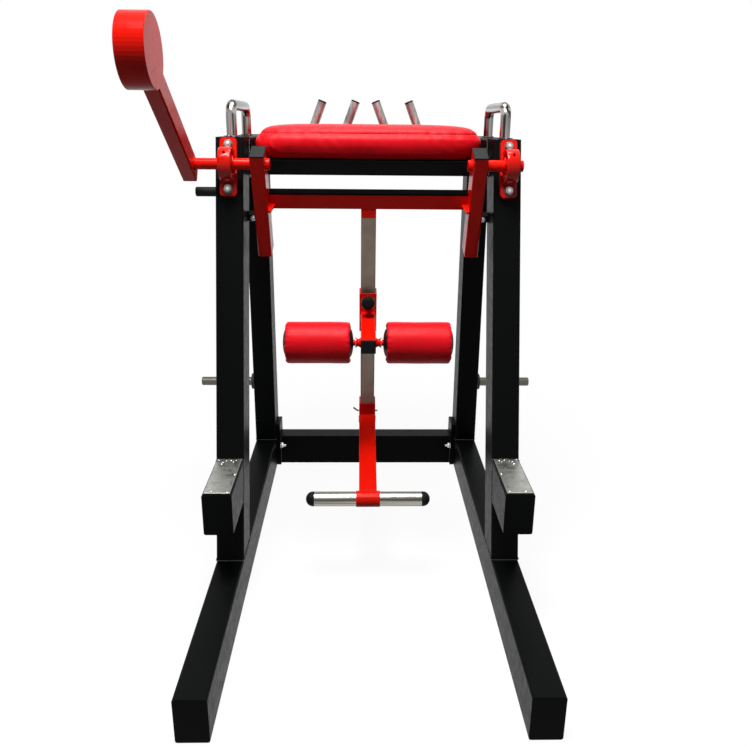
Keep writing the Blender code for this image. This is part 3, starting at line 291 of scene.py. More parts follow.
def bare_plate(name):
    """Ground steel plate with swirled grinding marks and grey staining."""
    metal = Surface(name, (0.55, 0.545, 0.52), 0.36, 1.0)
    space = metal.space()
    warp = metal.noise(space, 14.0, 3.0)
    swirl = {0: space, 1: metal.maths("MULTIPLY", warp, 0.03)}
    bent = metal.add("ShaderNodeVectorMath", swirl, operation="ADD").outputs[0]
    turned = {"Vector": bent, "Scale": (60.0, 900.0, 1.0), "Rotation": (0, 0, 0.5)}
    marks = metal.add("ShaderNodeMapping", turned).outputs[0]
    lines = metal.noise(marks, 1.0, 5.0, 0.7)
    stain = metal.remap(metal.noise(space, 38.0, 6.0, 0.65), 0.38, 0.66, 0.0, 1.0)
    streak = metal.remap(lines, 0.3, 0.7, 0.0, 1.0)
    tone = metal.mix(streak, (0.40, 0.395, 0.375), (0.62, 0.615, 0.585))
    metal.feed("Base Color", metal.mix(stain, (0.27, 0.27, 0.25), tone))
    metal.feed("Roughness", metal.remap(stain, 0.0, 1.0, 0.52, 0.28))
    metal.bump(lines, 0.15, 0.0003)
    metal.bump(stain, 0.10, 0.0006)
    return metal.material


def polished(name, colour, roughness):
    """Plated metal: almost a mirror, with fine wiping marks."""
    metal = Surface(name, colour, roughness, 1.0)
    space = metal.space()
    haze = metal.noise(space, 90.0, 5.0, 0.7)
    metal.feed("Roughness", metal.remap(haze, 0.35, 0.7, roughness, roughness + 0.10))
    dull = metal.remap(haze, 0.4, 0.7, 0.0, 1.0)
    metal.feed("Base Color", metal.mix(dull, colour, shade(colour, 0.86)))
    metal.bump(metal.noise(space, 24.0, 2.0), 0.03, 0.0010)
    return metal.material


def moulded(name, colour, roughness, texture, scale, specular=0.10):
    """Moulded plastic or rubber with a fine stippled skin."""
    skin = Surface(name, colour, roughness, constants={"Specular IOR Level": specular})
    space = skin.space()
    fine = skin.noise(space, scale, 3.0, 0.6)
    cloud = skin.noise(space, 20.0, 3.0)
    skin.feed("Base Color", skin.mix(cloud, shade(colour, 0.8), shade(colour, 1.35)))
    skin.feed("Roughness", skin.remap(fine, 0.3, 0.7, roughness - 0.08, roughness + 0.10))
    skin.bump(fine, texture, 0.0003)
    return skin.material


def peg_metal():
    """Brushed peg whose flange, next to the post, is black rubber."""
    metal = Surface("storage peg steel and rubber", (0.12, 0.11, 0.095), 0.30, 1.0)
    space = metal.space()
    reach = metal.maths("ABSOLUTE", metal.add("ShaderNodeSeparateXYZ", {0: space}).outputs[0])
    steel = metal.maths("GREATER_THAN", reach, OUTER_X + 0.0141)
    rings = metal.noise(metal.space(0.0, (900.0, 14.0, 14.0)), 1.0, 4.0)
    streak = metal.remap(rings, 0.3, 0.7, 0.0, 1.0)
    tone = metal.mix(streak, (0.075, 0.070, 0.060), (0.145, 0.135, 0.118))
    metal.feed("Base Color", metal.mix(steel, (0.012, 0.012, 0.012), tone))
    metal.feed("Metallic", steel)
    metal.feed("Roughness", metal.remap(steel, 0.0, 1.0, 0.62, 0.30))
    metal.bump(rings, 0.08, 0.0002)
    return metal.material


looks = {
    "black_coat": powder_coat("black satin powder coat", (0.0022, 0.0025, 0.0026), 0.36, 0.035,
                              0.16),
    "weld_black": powder_coat("black coat on welds", (0.0028, 0.0031, 0.0033), 0.20, 0.50, 0.10),
    "cast_red": powder_coat("red coat on castings", (0.54, 0.0048, 0.0012), 0.17, 0.15, 0.09),
    "red_coat": powder_coat("red powder coat", (0.66, 0.0055, 0.0010), 0.22, 0.08, 0.05),
    "red_vinyl": coated_fabric("red grained vinyl", (0.70, 0.0045, 0.011)),
    "bare_steel": bare_plate("bare ground steel"),
    "tube_steel": brushed("brushed square tube", (0.215, 0.172, 0.136), (0.14, 0.112, 0.092), 0.34,
                          -HANG_LEAN, (420.0, 420.0, 3.0)),
    # The foot bar and the handles get painted reflection bands in their base colour
    "bar_steel": chrome_tube("polished foot bar with painted reflections", (0.38, 0.37, 0.33), (0.085, 0.080, 0.066),
                             bar_painted_reflections),
    "handle_steel": chrome_tube("polished handle with painted reflections", (0.44, 0.42, 0.405), (0.040, 0.037, 0.036),
                                handle_painted_reflections),
    "grip_steel": brushed("grip", (0.72, 0.69, 0.67), (0.19, 0.175, 0.165), 0.36, 0.0,
                          (130.0, 130.0, 5.0), 0.02),
    # Zinc darkened as painted shade, for the washers round the pillow block nuts
    "dark_zinc": polished("zinc darkened as painted shade", (0.11, 0.11, 0.105), 0.34),
    "bright_zinc": polished("bright zinc", (0.74, 0.74, 0.72), 0.28),
    "zinc": polished("zinc plated steel", (0.30, 0.30, 0.285), 0.30),
    "black_plastic": moulded("black moulded plastic", (0.0045, 0.0045, 0.0050), 0.42, 0.18,
                             900.0),
    "black_rubber": moulded("black rubber", (0.0040, 0.0040, 0.0040), 0.52, 0.25, 500.0),
    # Matte black without gloss, for the painted shade along the crossbar's top
    "shade_black": moulded("black for painted shade", (0.0018, 0.0018, 0.0018), 0.80, 0.15, 700.0,
                            0.0),
    "peg": peg_metal(),
    "thread": moulded("dark red seam thread", (0.16, 0.003, 0.006), 0.60, 0.30, 1500.0),
}
# Nodes whose look isn't the one of their material slot
own_look = {"pendulum_tube": "tube_steel", "foot_bar": "bar_steel", "pad_board": "red_vinyl"}
for kind, look in (("storage_peg", "peg"), ("u_handle", "handle_steel"),
                   ("inner_grip", "grip_steel"), ("outer_grip", "grip_steel"),
                   ("pillow_block", "cast_red"), ("bearing_insert", "cast_red")):
    for _, side in SIDES:
        own_look[side + "_" + kind] = look
for entry in frame["record"]["subparts"]:
    look = own_look.get(entry["node"], entry["material_slot"])
    for slot in nodes[entry["node"]].material_slots:
        slot.material = looks[look]


def new_piece(name, bm, look, body):
    """A piece in the machine's frame that rides on a body."""
    mesh = bpy.data.meshes.new(name)
    bm.to_mesh(mesh)
    bm.free()
    mesh.shade_smooth()
    mesh.set_sharp_from_angle(angle=math.radians(38))
    mesh.materials.append(looks[look])
    piece = bpy.data.objects.new(name, mesh)
    bpy.context.scene.collection.objects.link(piece)
    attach(piece, body)
    return piece


def join_rings(bm, rings, closed=False):
    """Faces from ring to ring, and over both ends of a row that isn't closed."""
    for first, second in zip(rings, rings[1:] + (rings[:1] if closed else [])):
        for step in range(len(first)):
            after = (step + 1) % len(first)
            bm.faces.new((first[step], first[after], second[after], second[step]))
    if not closed:
        bm.faces.new(reversed(rings[0]))
        bm.faces.new(rings[-1])


def lathe(bm, matrix, profile, steps, closed=False):
    """Turn a profile of (radius, height) about the matrix's Z axis."""
    rings = []
    for radius, height in profile:
        if radius < 1e-6:
            rings.append([bm.verts.new(matrix @ Vector((0, 0, height)))])
            continue
        ring = []
        for step in range(steps):
            angle = 2 * math.pi * step / steps
            spot = Vector((radius * math.cos(angle), radius * math.sin(angle), height))
            ring.append(bm.verts.new(matrix @ spot))
        rings.append(ring)
    for lower, upper in zip(rings, rings[1:] + (rings[:1] if closed else [])):
        for step in range(steps):
            after = (step + 1) % steps
            corners = [lower[step % len(lower)], lower[after % len(lower)],
                       upper[after % len(upper)], upper[step % len(upper)]]
            unique = list(dict.fromkeys(corners))
            if len(unique) > 2:
                bm.faces.new(unique)


def sweep(bm, points, radius, sides, closed=True, ripple=0.0, pitch=BEAD_PITCH, guide=None):
    """A tube along points; ripple, at that pitch, makes the scales of a weld bead."""
    count = len(points)
    rings = []
    travelled = 0.0
    for index, point in enumerate(points):
        before = points[index - 1] if closed or index else points[0]
        after = points[(index + 1) % count] if closed or index < count - 1 else points[-1]
        along = (after - before).normalized()
        side = along.cross(guide or Vector((0.13, 0.21, 0.97)))
        if side.length < 0.1:
            side = along.cross(Vector((0.97, 0.13, 0.21)))
        side.normalize()
        lift = along.cross(side)
        if index:
            travelled += (point - points[index - 1]).length
        size = radius * (1 + ripple * math.sin(2 * math.pi * travelled / pitch)
                         + ripple * chance.uniform(-0.4, 0.4))
        ring = []
        for step in range(sides):
            angle = 2 * math.pi * step / sides
            spot = point + side * (size * math.cos(angle)) + lift * (size * math.sin(angle))
            ring.append(bm.verts.new(spot))
        rings.append(ring)
    join_rings(bm, rings, closed)


def spaced(corners, step, closed):
    """Evenly spaced points along straight runs between corners."""
    points = []
    ends = corners[1:] + corners[:1] if closed else corners[1:]
    for start, end in zip(corners, ends):
        count = max(1, round((end - start).length / step))
        for index in range(count):
            points.append(start.lerp(end, index / count))
    if not closed:
        points.append(corners[-1])
    return points


def rounded_rectangle(matrix, half_a, half_b, corner=0.004):
    """Corner points of a rectangle with clipped corners, in the matrix's XY plane."""
    spots = [
        (half_a - corner, half_b), (corner - half_a, half_b), (-half_a, half_b - corner),
        (-half_a, corner - half_b), (corner - half_a, -half_b), (half_a - corner, -half_b),
        (half_a, corner - half_b), (half_a, half_b - corner),
    ]
    return [matrix @ Vector((a, b, 0)) for a, b in spots]


def frame_at(x, y, z, turn=0.0):
    """A matrix whose XY plane is level, or turned about X."""
    return Matrix.Translation((x, y, z)) @ Matrix.Rotation(turn, 4, "X")


def sideways_at(x, y, z):
    """A matrix whose XY plane faces X."""
    return Matrix.Translation((x, y, z)) @ Matrix.Rotation(math.pi / 2, 4, "Y")


def block_at(sign):
    """The matrix of a pillow block, with its shaft along X and the upright's lean."""
    return Matrix.Translation((sign * SIDE_X, PIVOT.y, PIVOT.z)) @ Matrix.Rotation(-LEAN, 4, "X")


def weld_piece(name, loops, radius, look, body, ripple=0.14):
    """Weld beads along closed or open lines, as one piece."""
    bm = bmesh.new()
    for corners, closed in loops:
        points = spaced(corners, BEAD_STEP, closed)
        sweep(bm, points, radius, BEAD_SIDES, closed, ripple)
    return new_piece(name, bm, look, body)


def circle(matrix, radius):
    """Points of a circle in the matrix's XY plane."""
    angles = [2 * math.pi * step / 48 for step in range(48)]
    return [matrix @ Vector((radius * math.cos(a), radius * math.sin(a), 0)) for a in angles]


def face_y(height):
    """Where a leaning upright's front face is at a height."""
    return FOOT_Y + math.tan(LEAN) * (height - TUBE_H)


hang = Matrix.Translation(HANG) @ Matrix.Rotation(HANG_LEAN, 4, "X")
arm = Matrix.Translation(PIVOT) @ Matrix.Rotation(ARM_LEAN, 4, "X")


def frame_welds():
    """Beads where the black tubes of the side frames meet."""
    half = DEPTH / 2
    wide = TUBE_W / 2 - 0.001
    deep = TUBE_H / 2 - 0.001
    post_y = REAR_Y - TUBE_H / 2
    beam_z, step_z = 1.235, 0.345
    slant = math.pi / 2 - LEAN
    slim = TUBE_W / 2 - 0.0005
    joint_half = 0.0625
    for sign, side in SIDES:
        x = sign * SIDE_X
        loops = [
            rounded_rectangle(frame_at(x, FOOT_Y + half, 0.1212), TUBE_W / 2, half),
            rounded_rectangle(frame_at(x, post_y, 0.1212), wide, deep),
            rounded_rectangle(frame_at(x, post_y, FRAME_TOP - TUBE_H - 0.001), wide, deep),
            rounded_rectangle(frame_at(x, face_y(beam_z) + DEPTH, beam_z, slant), slim, joint_half),
            rounded_rectangle(frame_at(x, face_y(step_z), step_z, slant), slim, joint_half),
        ]
        for leg in HANDLE_LEGS:
            loops.append(circle(frame_at(x, PIVOT.y + leg, FRAME_TOP + 0.001), 0.0165))
        weld_piece(side + "_frame_welds", [(loop, True) for loop in loops], 0.0022, "weld_black",
                   "machine_frame", 0.28)
    loops = []
    for sign in SIGNS:
        x, y, z = CROSS_MEMBER_END
        loops.append(rounded_rectangle(sideways_at(sign * x, y, z), 0.0575, 0.0395))
        for y, z, half_z, half_y in ((0.2328, 1.2095, 0.0225, 0.040),
                                     (0.6688, 1.2095, 0.0225, 0.040),
                                     (GRIP_Y, 1.270, 0.025, 0.025)):
            end = sideways_at(sign * BEAM_END_X, y, z)
            loops.append(rounded_rectangle(end, half_z, half_y))
        for reach in GRIP_REACH:
            spot = sign * reach + GRIP_SHIFT + sign * GRIP_RISE * math.tan(GRIP_LEAN)
            loops.append(circle(frame_at(spot, GRIP_Y, FRAME_TOP + 0.001), 0.0168))
    weld_piece("cross_member_welds", [(loop, True) for loop in loops], 0.0020, "weld_black",
               "machine_frame", 0.28)


def pendulum_welds():
    """Red beads on the pendulum, the carriage and the lever."""
    beads = []
    for sign in SIGNS:
        beads.append((rounded_rectangle(arm @ sideways_at(sign * ARM_FACE_X, 0.020, -0.1174),
                                        0.025, 0.015), True))
        gusset = [arm @ Vector((sign * 0.2908, y, -0.1235)) for y in (0.004, -0.042)]
        beads.append((gusset, False))
        for x in (ARM_FACE_X, 0.3328):
            beads.append((circle(arm @ sideways_at(sign * x, 0, 0), 0.0170), True))
    beads.append((circle(sideways_at(-0.4912, PIVOT.y, PIVOT.z), 0.0172), True))
    counter = Matrix.Translation(PIVOT) @ Matrix.Rotation(math.pi / 2 - COUNTER_LEAN, 4, "X")
    for x in (-0.4932, -0.5308):
        rim = []
        for step in range(13):
            angle = math.radians(-22 + 44 * step / 12)
            rim.append(counter @ Vector((x, COUNTER_RADIUS * math.sin(angle),
                                         COUNTER_REACH - COUNTER_RADIUS * math.cos(angle))))
        beads.append((rim, False))
    weld_piece("pendulum_welds", beads, 0.0015, "red_coat", "pendulum")
    carriage = hang @ frame_at(0, COLLAR_FRONT, -0.366, math.pi / 2)
    beads = [(rounded_rectangle(carriage, 0.0225, 0.0228, 0.003), True)]
    weld_piece("carriage_welds", beads, 0.0022, "red_coat", "roller_carriage")
    root = hang @ frame_at(0, COLLAR_FRONT, LEVER_ROOT, math.pi / 2)
    beads = [(rounded_rectangle(root, 0.0262, 0.0155, 0.003), True)]
    lever = hang @ frame_at(0, COLLAR_FRONT, LEVER_ROOT, LEVER_LEAN)
    for height in (0.0152, -0.0152):
        ends = [lever @ Vector((x, -0.3365, height)) for x in (-0.025, 0.025)]
        beads.append((ends, False))
    weld_piece("lever_welds", beads, 0.0022, "red_coat", "pendulum")


def crossbar_shade_strip():
    """Black strip along the top of the crossbar, put there as painted shade for the crossbar's
    shaded top.
    """
    bm = bmesh.new()
    sections = []
    profile = ((-0.0153, -0.0036), (-0.0156, -0.0006), (-0.0136, 0.0014), (-0.0115, 0.0018),
               (0.0115, 0.0018), (0.0136, 0.0014), (0.0156, -0.0006), (0.0153, -0.0036))
    full, tapered = (1.0, 1.0), (0.968, 0.6)
    for x, (wide, tall) in ((-0.2917, tapered), (-0.2907, full), (-0.1, full), (0.1, full),
                            (0.2907, full), (0.2917, tapered)):
        sections.append([bm.verts.new(arm @ Vector((x, 0.020 + y * wide, -0.0922 + z * tall)))
                         for y, z in profile])
    join_rings(bm, sections)
    bmesh.ops.recalc_face_normals(bm, faces=bm.faces)
    new_piece("crossbar_top_shade_strip", bm, "shade_black", "pendulum")


def axle_trim():
    """Collars welded to the roller tube, and the clips that keep the rollers on the axle."""
    collars = bmesh.new()
    clips = bmesh.new()
    for sign in SIGNS:
        matrix = Matrix.Translation(AXLE) @ Matrix.Rotation(sign * math.pi / 2, 4, "Y")
        profile = [(0.0099, 0.0228), (0.0150, 0.0228), (0.0146, 0.0245), (0.0120, 0.0275),
                   (0.0114, 0.0310), (0.0122, 0.0335), (0.0142, 0.0350), (0.0142, 0.0366),
                   (0.0099, 0.0366)]
        lathe(collars, matrix, profile, 32, True)
        profile = [(0.0099, 0.0372), (0.0158, 0.0372), (0.0165, 0.0377), (0.0165, 0.0387),
                   (0.0158, 0.0392), (0.0099, 0.0392)]
        lathe(clips, matrix, profile, 36, True)
    new_piece("axle_collars", collars, "red_coat", "roller_carriage")
    new_piece("axle_clips", clips, "zinc", "roller_carriage")


def hexagon(bm, matrix, corner, levels, steps):
    """Hexagonal solid; each of its levels is cut back to a round radius, at a height."""
    rings = []
    for radius, height in levels:
        ring = []
        for step in range(steps):
            angle = 2 * math.pi * step / steps
            facet = corner * math.cos(math.pi / 6) / math.cos(angle % (math.pi / 3) - math.pi / 6)
            size = min(radius, facet)
            spot = Vector((size * math.cos(angle), size * math.sin(angle), height))
            ring.append(bm.verts.new(matrix @ spot))
        rings.append(ring)
    join_rings(bm, rings)


def hex_bolt(bm, matrix, corner, height, washer):
    """Hex head with a chamfered crown, on a washer."""
    lathe(bm, matrix, [(0, 0.0002), (washer - 0.0005, 0.0002), (washer, 0.0006), (washer, 0.0017),
                       (washer - 0.0005, 0.0022), (0, 0.0022)], 28)
    base = 0.0024
    hexagon(bm, matrix, corner, ((corner, base), (corner, base + height * 0.82),
                                 (corner * 0.86, base + height)), 24)


def hex_nut(bm, matrix, corner, height):
    """Hex nut, chamfered to a round crown at both ends."""
    crown = corner * math.cos(math.pi / 6) * 0.97
    hexagon(bm, matrix, corner, ((crown, 0.0), (corner, height * 0.14), (corner, height * 0.84),
                                 (crown, height)), 36)


def block_bolts():
    """Washer, nut and stud end of each pillow block bolt; the washers are darkened as painted shade
    round each nut.
    """
    washers = bmesh.new()
    nuts = bmesh.new()
    studs = bmesh.new()
    replaced = []
    for sign, side in SIDES:
        for end, part in ((1, "upper"), (-1, "lower")):
            replaced.append(side + "_" + part + "_block_bolt")
            seat = block_at(sign) @ frame_at(0, BLOCK_FACE, end * BLOCK_BOLT, math.pi / 2)
            lathe(washers, seat, [(0.0062, 0.0), (0.0130, 0.0), (0.0134, 0.0004),
                                  (0.0134, 0.0021), (0.0130, 0.0025), (0.0062, 0.0025)], 36, True)
            spin = Matrix.Rotation(math.radians(20 + 17 * end + 31 * sign), 4, "Z")
            hex_nut(nuts, seat @ spin @ Matrix.Translation((0, 0, 0.0026)), 0.0118, 0.0078)
            lathe(studs, seat, [(0.0050, -0.0200), (0.0050, 0.0124), (0.0043, 0.0131),
                                (0, 0.0133)], 24)
    # Painted shade: the washers are darker than the nuts
    new_piece("block_washers", washers, "dark_zinc", "machine_frame")
    nut_piece = new_piece("block_nuts", nuts, "zinc", "machine_frame")
    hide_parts(*replaced)
    new_piece("block_studs", studs, "bright_zinc", "machine_frame")


def u_handles():
    """Smooth bent handles on the side frames."""
    for _, side in SIDES:
        node = side + "_u_handle"
        low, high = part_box(node)
        radius = (high.x - low.x) / 2
        x = (low.x + high.x) / 2
        front, rear, top = low.y + radius, high.y - radius, high.z - radius
        bend = 0.032
        leg = top - bend - low.z
        run = rear - front - 2 * bend
        arc = [math.pi / 2 * step / 12 for step in range(13)]
        path = [Vector((x, front, low.z + leg * step / 6)) for step in range(6)]
        path += [Vector((x, front + bend - bend * math.cos(angle),
                         top - bend + bend * math.sin(angle))) for angle in arc]
        path += [Vector((x, front + bend + run * step / 10, top)) for step in range(1, 10)]
        path += [Vector((x, rear - bend + bend * math.sin(angle),
                         top - bend + bend * math.cos(angle))) for angle in arc]
        path += [Vector((x, rear, top - bend - leg * step / 6)) for step in range(1, 7)]
        bm = bmesh.new()
        sweep(bm, path, radius, 32, False, guide=Vector((1, 0, 0)))
        handle = new_piece(side + "_bent_handle", bm, "handle_steel", "machine_frame")
        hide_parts(node)


def frame_bolts():
    """Bolts through the rear flange plates and the bump stops."""
    bm = bmesh.new()
    for sign in SIGNS:
        inward = Matrix.Rotation(-sign * math.pi / 2, 4, "Y")
        through = Matrix.Translation((sign * 0.3480, FLANGE_BOLT_Y, 0.084)) @ inward
        lathe(bm, through, [(0, 0.0002), (0.0130, 0.0002), (0.0132, 0.0020), (0.0128, 0.0026),
                            (0, 0.0026)], 28)
        hex_nut(bm, through @ Matrix.Translation((0, 0, 0.0027)), 0.0112, 0.0090)
        lathe(bm, through, [(0, 0.0116), (0.0050, 0.0118), (0.0052, 0.0210), (0.0044, 0.0218),
                            (0, 0.0220)], 20)
        outward = Matrix.Rotation(sign * math.pi / 2, 4, "Y")
        outside = Matrix.Translation((sign * 0.4427, FLANGE_BOLT_Y, 0.082)) @ outward
        hex_bolt(bm, outside, 0.0085, 0.0065, 0.0105)
        stop = arm @ frame_at(sign * 0.3470, 0.0353, -0.189, math.pi / 2)
        hex_bolt(bm, stop, 0.0060, 0.0045, 0.0085)
    new_piece("frame_bolts", bm, "bright_zinc", "machine_frame")


def housing_bands():
    """Smooth crowned skin round each bearing housing, down to its foot."""
    bm = bmesh.new()
    profile = ((-0.0181, -0.0014), (-0.0179, -0.0003), (-0.0168, 0.0006), (-0.0110, 0.0012),
               (0.0, 0.0014), (0.0110, 0.0012), (0.0168, 0.0006), (0.0179, -0.0003),
               (0.0181, -0.0014))
    for sign in SIGNS:
        block = block_at(sign)
        foot = Vector((0, BLOCK_FACE + 0.0012, 0))
        path = [(foot + Vector((0, 0, HOUSING_RADIUS)), Vector((0, 0, 1)))]
        for step in range(61):
            angle = math.pi * step / 60
            out = Vector((0, -math.sin(angle), math.cos(angle)))
            path.append((out * HOUSING_RADIUS, out))
        path.append((foot - Vector((0, 0, HOUSING_RADIUS)), Vector((0, 0, -1))))
        rings = []
        for spot, out in path:
            rings.append([bm.verts.new(block @ (spot + Vector((x, 0, 0)) + out * lift))
                          for x, lift in profile])
        join_rings(bm, rings)
    bmesh.ops.recalc_face_normals(bm, faces=bm.faces)
    new_piece("bearing_housing_skin", bm, "cast_red", "machine_frame")


def bearing_trim():
    """Set screws on the bearings' inner rings and a grease nipple on each housing."""
    screws = bmesh.new()
    nipples = bmesh.new()
    for sign in SIGNS:
        block = block_at(sign)
        for angle in (35, 95):
            spin = Matrix.Rotation(math.radians(angle), 4, "X")
            for end in SIGNS:
                seat = block @ spin @ Matrix.Translation((end * 0.0165, 0, 0.0234))
                lathe(screws, seat, [(0, 0.0016), (0.0014, 0.0016), (0.0016, 0.0024),
                                     (0.0026, 0.0024), (0.0028, 0.0020), (0.0028, 0.0),
                                     (0, 0.0)], 20)
        spin = Matrix.Rotation(math.radians(62), 4, "X")
        lathe(nipples, block @ spin @ Matrix.Translation((0, 0, 0.0456)),
              [(0, 0.0105), (0.0014, 0.0102), (0.0022, 0.0088), (0.0016, 0.0072),
               (0.0030, 0.0066), (0.0036, 0.0060), (0.0036, 0.0022), (0.0045, 0.0016),
               (0.0045, 0.0), (0, 0.0)], 20)
    new_piece("bearing_set_screws", screws, "red_coat", "machine_frame")
    new_piece("grease_nipples", nipples, "red_coat", "machine_frame")


def grip_plugs():
    """Dark domed caps on the tops of the four grips."""
    bm = bmesh.new()
    for sign in SIGNS:
        for reach in GRIP_REACH:
            top = Matrix.Translation((sign * reach + GRIP_SHIFT, GRIP_Y, FRAME_TOP + GRIP_RISE))
            matrix = top @ Matrix.Rotation(-sign * GRIP_LEAN, 4, "Y")
            lathe(bm, matrix, [(0, 0.0018), (0.0110, 0.0016), (0.0144, 0.0009),
                               (0.0158, -0.0006), (0.0159, -0.0038), (0.0152, -0.0044),
                               (0, -0.0044)], 32)
    new_piece("grip_plugs", bm, "black_plastic", "machine_frame")


def step_tacks():
    """Bright weld tacks round the step plates."""
    bm = bmesh.new()
    spots = ((-0.027, -0.3465), (0.016, -0.3445), (-0.021, -0.151), (-0.006, -0.148),
             (0.007, -0.153), (0.015, -0.161), (0.017, -0.174), (-0.014, -0.160),
             (0.030, -0.145), (-0.031, -0.240))
    for sign in SIGNS:
        for x, y in spots:
            size = chance.uniform(0.0022, 0.0036)
            spot = Vector((sign * (SIDE_X + x), y + chance.uniform(-0.002, 0.002),
                           STEP_TOP - 0.0006))
            verts = bmesh.ops.create_icosphere(bm, subdivisions=2, radius=size)["verts"]
            for vertex in verts:
                wobble = 1 + 0.16 * noise.noise(vertex.co * 700 + spot * 90)
                vertex.co = spot + Vector((vertex.co.x * wobble, vertex.co.y * 1.5 * wobble,
                                           vertex.co.z * 0.75))
    new_piece("step_plate_tacks", bm, "bright_zinc", "machine_frame")


def ramp(value, start, run):
    """0 up to a start, and from there up to 1 over a run."""
    return min(1.0, max(0.0, (value - start) / run))


def bell(distance, reach):
    """1 at no distance, fading away over a reach."""
    return math.exp(-((distance / reach) ** 2))


def fit_to(piece, low, high):
    """Stretch a piece's mesh so that its box has these corners."""
    spots = [vertex.co for vertex in piece.data.vertices]
    least = [min(spot[i] for spot in spots) for i in range(3)]
    most = [max(spot[i] for spot in spots) for i in range(3)]
    for spot in spots:
        for i in range(3):
            stretch = (high[i] - low[i]) / (most[i] - least[i])
            spot[i] = low[i] + (spot[i] - least[i]) * stretch


def swollen(name, source, shrink, voxel, cap, free, drop=0.0):
    """Remesh a CAD form, blow it up as cloth and hold each point near its place.

    shrink is the start shape's inset, cap the longest move, and free tells the share of it
    for a point. drop carries the underside down, round what the form is wrapped over.
    """
    mesh = nodes[source].data.copy()
    piece = bpy.data.objects.new(name, mesh)
    bpy.context.scene.collection.objects.link(piece)
    low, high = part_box(source)
    centre = (low + high) / 2
    size = high - low
    for vertex in mesh.vertices:
        offset = vertex.co - centre
        vertex.co = centre + Vector([offset[i] * (1 - 2 * shrink[i] / size[i])
                                     for i in range(3)])
        if drop and vertex.co.z < centre.z:
            vertex.co.z -= drop * (centre.z - vertex.co.z) / (size.z / 2)
    remesh = piece.modifiers.new("remesh", "REMESH")
    remesh.mode = "VOXEL"
    remesh.voxel_size = voxel
    remesh.use_smooth_shade = True
    flatten_modifiers(piece)
    start = [vertex.co.copy() for vertex in piece.data.vertices]
    cloth = piece.modifiers.new("cloth", "CLOTH")
    cloth.settings.use_pressure = True
    cloth.settings.uniform_pressure_force = CLOTH_PRESSURE
    cloth.settings.effector_weights.gravity = 0.0
    cloth.settings.quality = 5
    cloth.point_cache.frame_start = 1
    cloth.point_cache.frame_end = CLOTH_FRAMES
    for step in range(1, CLOTH_FRAMES + 1):
        bpy.context.scene.frame_set(step)
    flatten_modifiers(piece)
    bpy.context.scene.frame_set(1)
    for vertex, place in zip(piece.data.vertices, start):
        outward = vertex.normal.copy()
        move = vertex.co - place
        swell = move.dot(outward)
        if swell < 0:
            move -= outward * swell
        limit = cap * free(place)
        if move.length > limit:
            move = move * (limit / move.length)
        vertex.co = place + move
    divide = piece.modifiers.new("divide", "SUBSURF")
    divide.levels = 1
    flatten_modifiers(piece)
    return piece


def flatten_modifiers(piece):
    """Apply all modifiers of a piece to its mesh."""
    bpy.context.view_layer.update()
    evaluated = piece.evaluated_get(bpy.context.evaluated_depsgraph_get())
    done = bpy.data.meshes.new_from_object(evaluated)
    piece.modifiers.clear()
    piece.data = done


def finish_soft(piece, replaced, body):
    """Give a cover its look, its body and the nodes it stands for."""
    piece.data.materials.clear()
    piece.data.materials.append(looks["red_vinyl"])
    piece.data.shade_smooth()
    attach(piece, body)
    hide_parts(*replaced)


def calm(piece, rounds):
    """Even out a mesh's small dents."""
    bm = bmesh.new()
    bm.from_mesh(piece.data)
    for _ in range(rounds):
        bmesh.ops.smooth_vert(bm, verts=bm.verts, factor=0.5, use_axis_x=True, use_axis_y=True,
                              use_axis_z=True)
    bm.to_mesh(piece.data)
    bm.free()


def pad_line(piece, height, steps):
    """Points of the pad's surface at a height over its underside, all the way round."""
    low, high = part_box("body_pad")
    centre = (low + high) / 2
    tree = BVHTree.FromObject(piece, bpy.context.evaluated_depsgraph_get())
    line = []
    for step in range(steps):
        angle = 2 * math.pi * step / steps
        way = Vector((math.cos(angle), math.sin(angle), 0))
        far = Vector((centre.x, centre.y, low.z + height)) + way
        hit = tree.ray_cast(far, -way)
        if hit[0] is not None:
            line.append(hit[0])
    return line


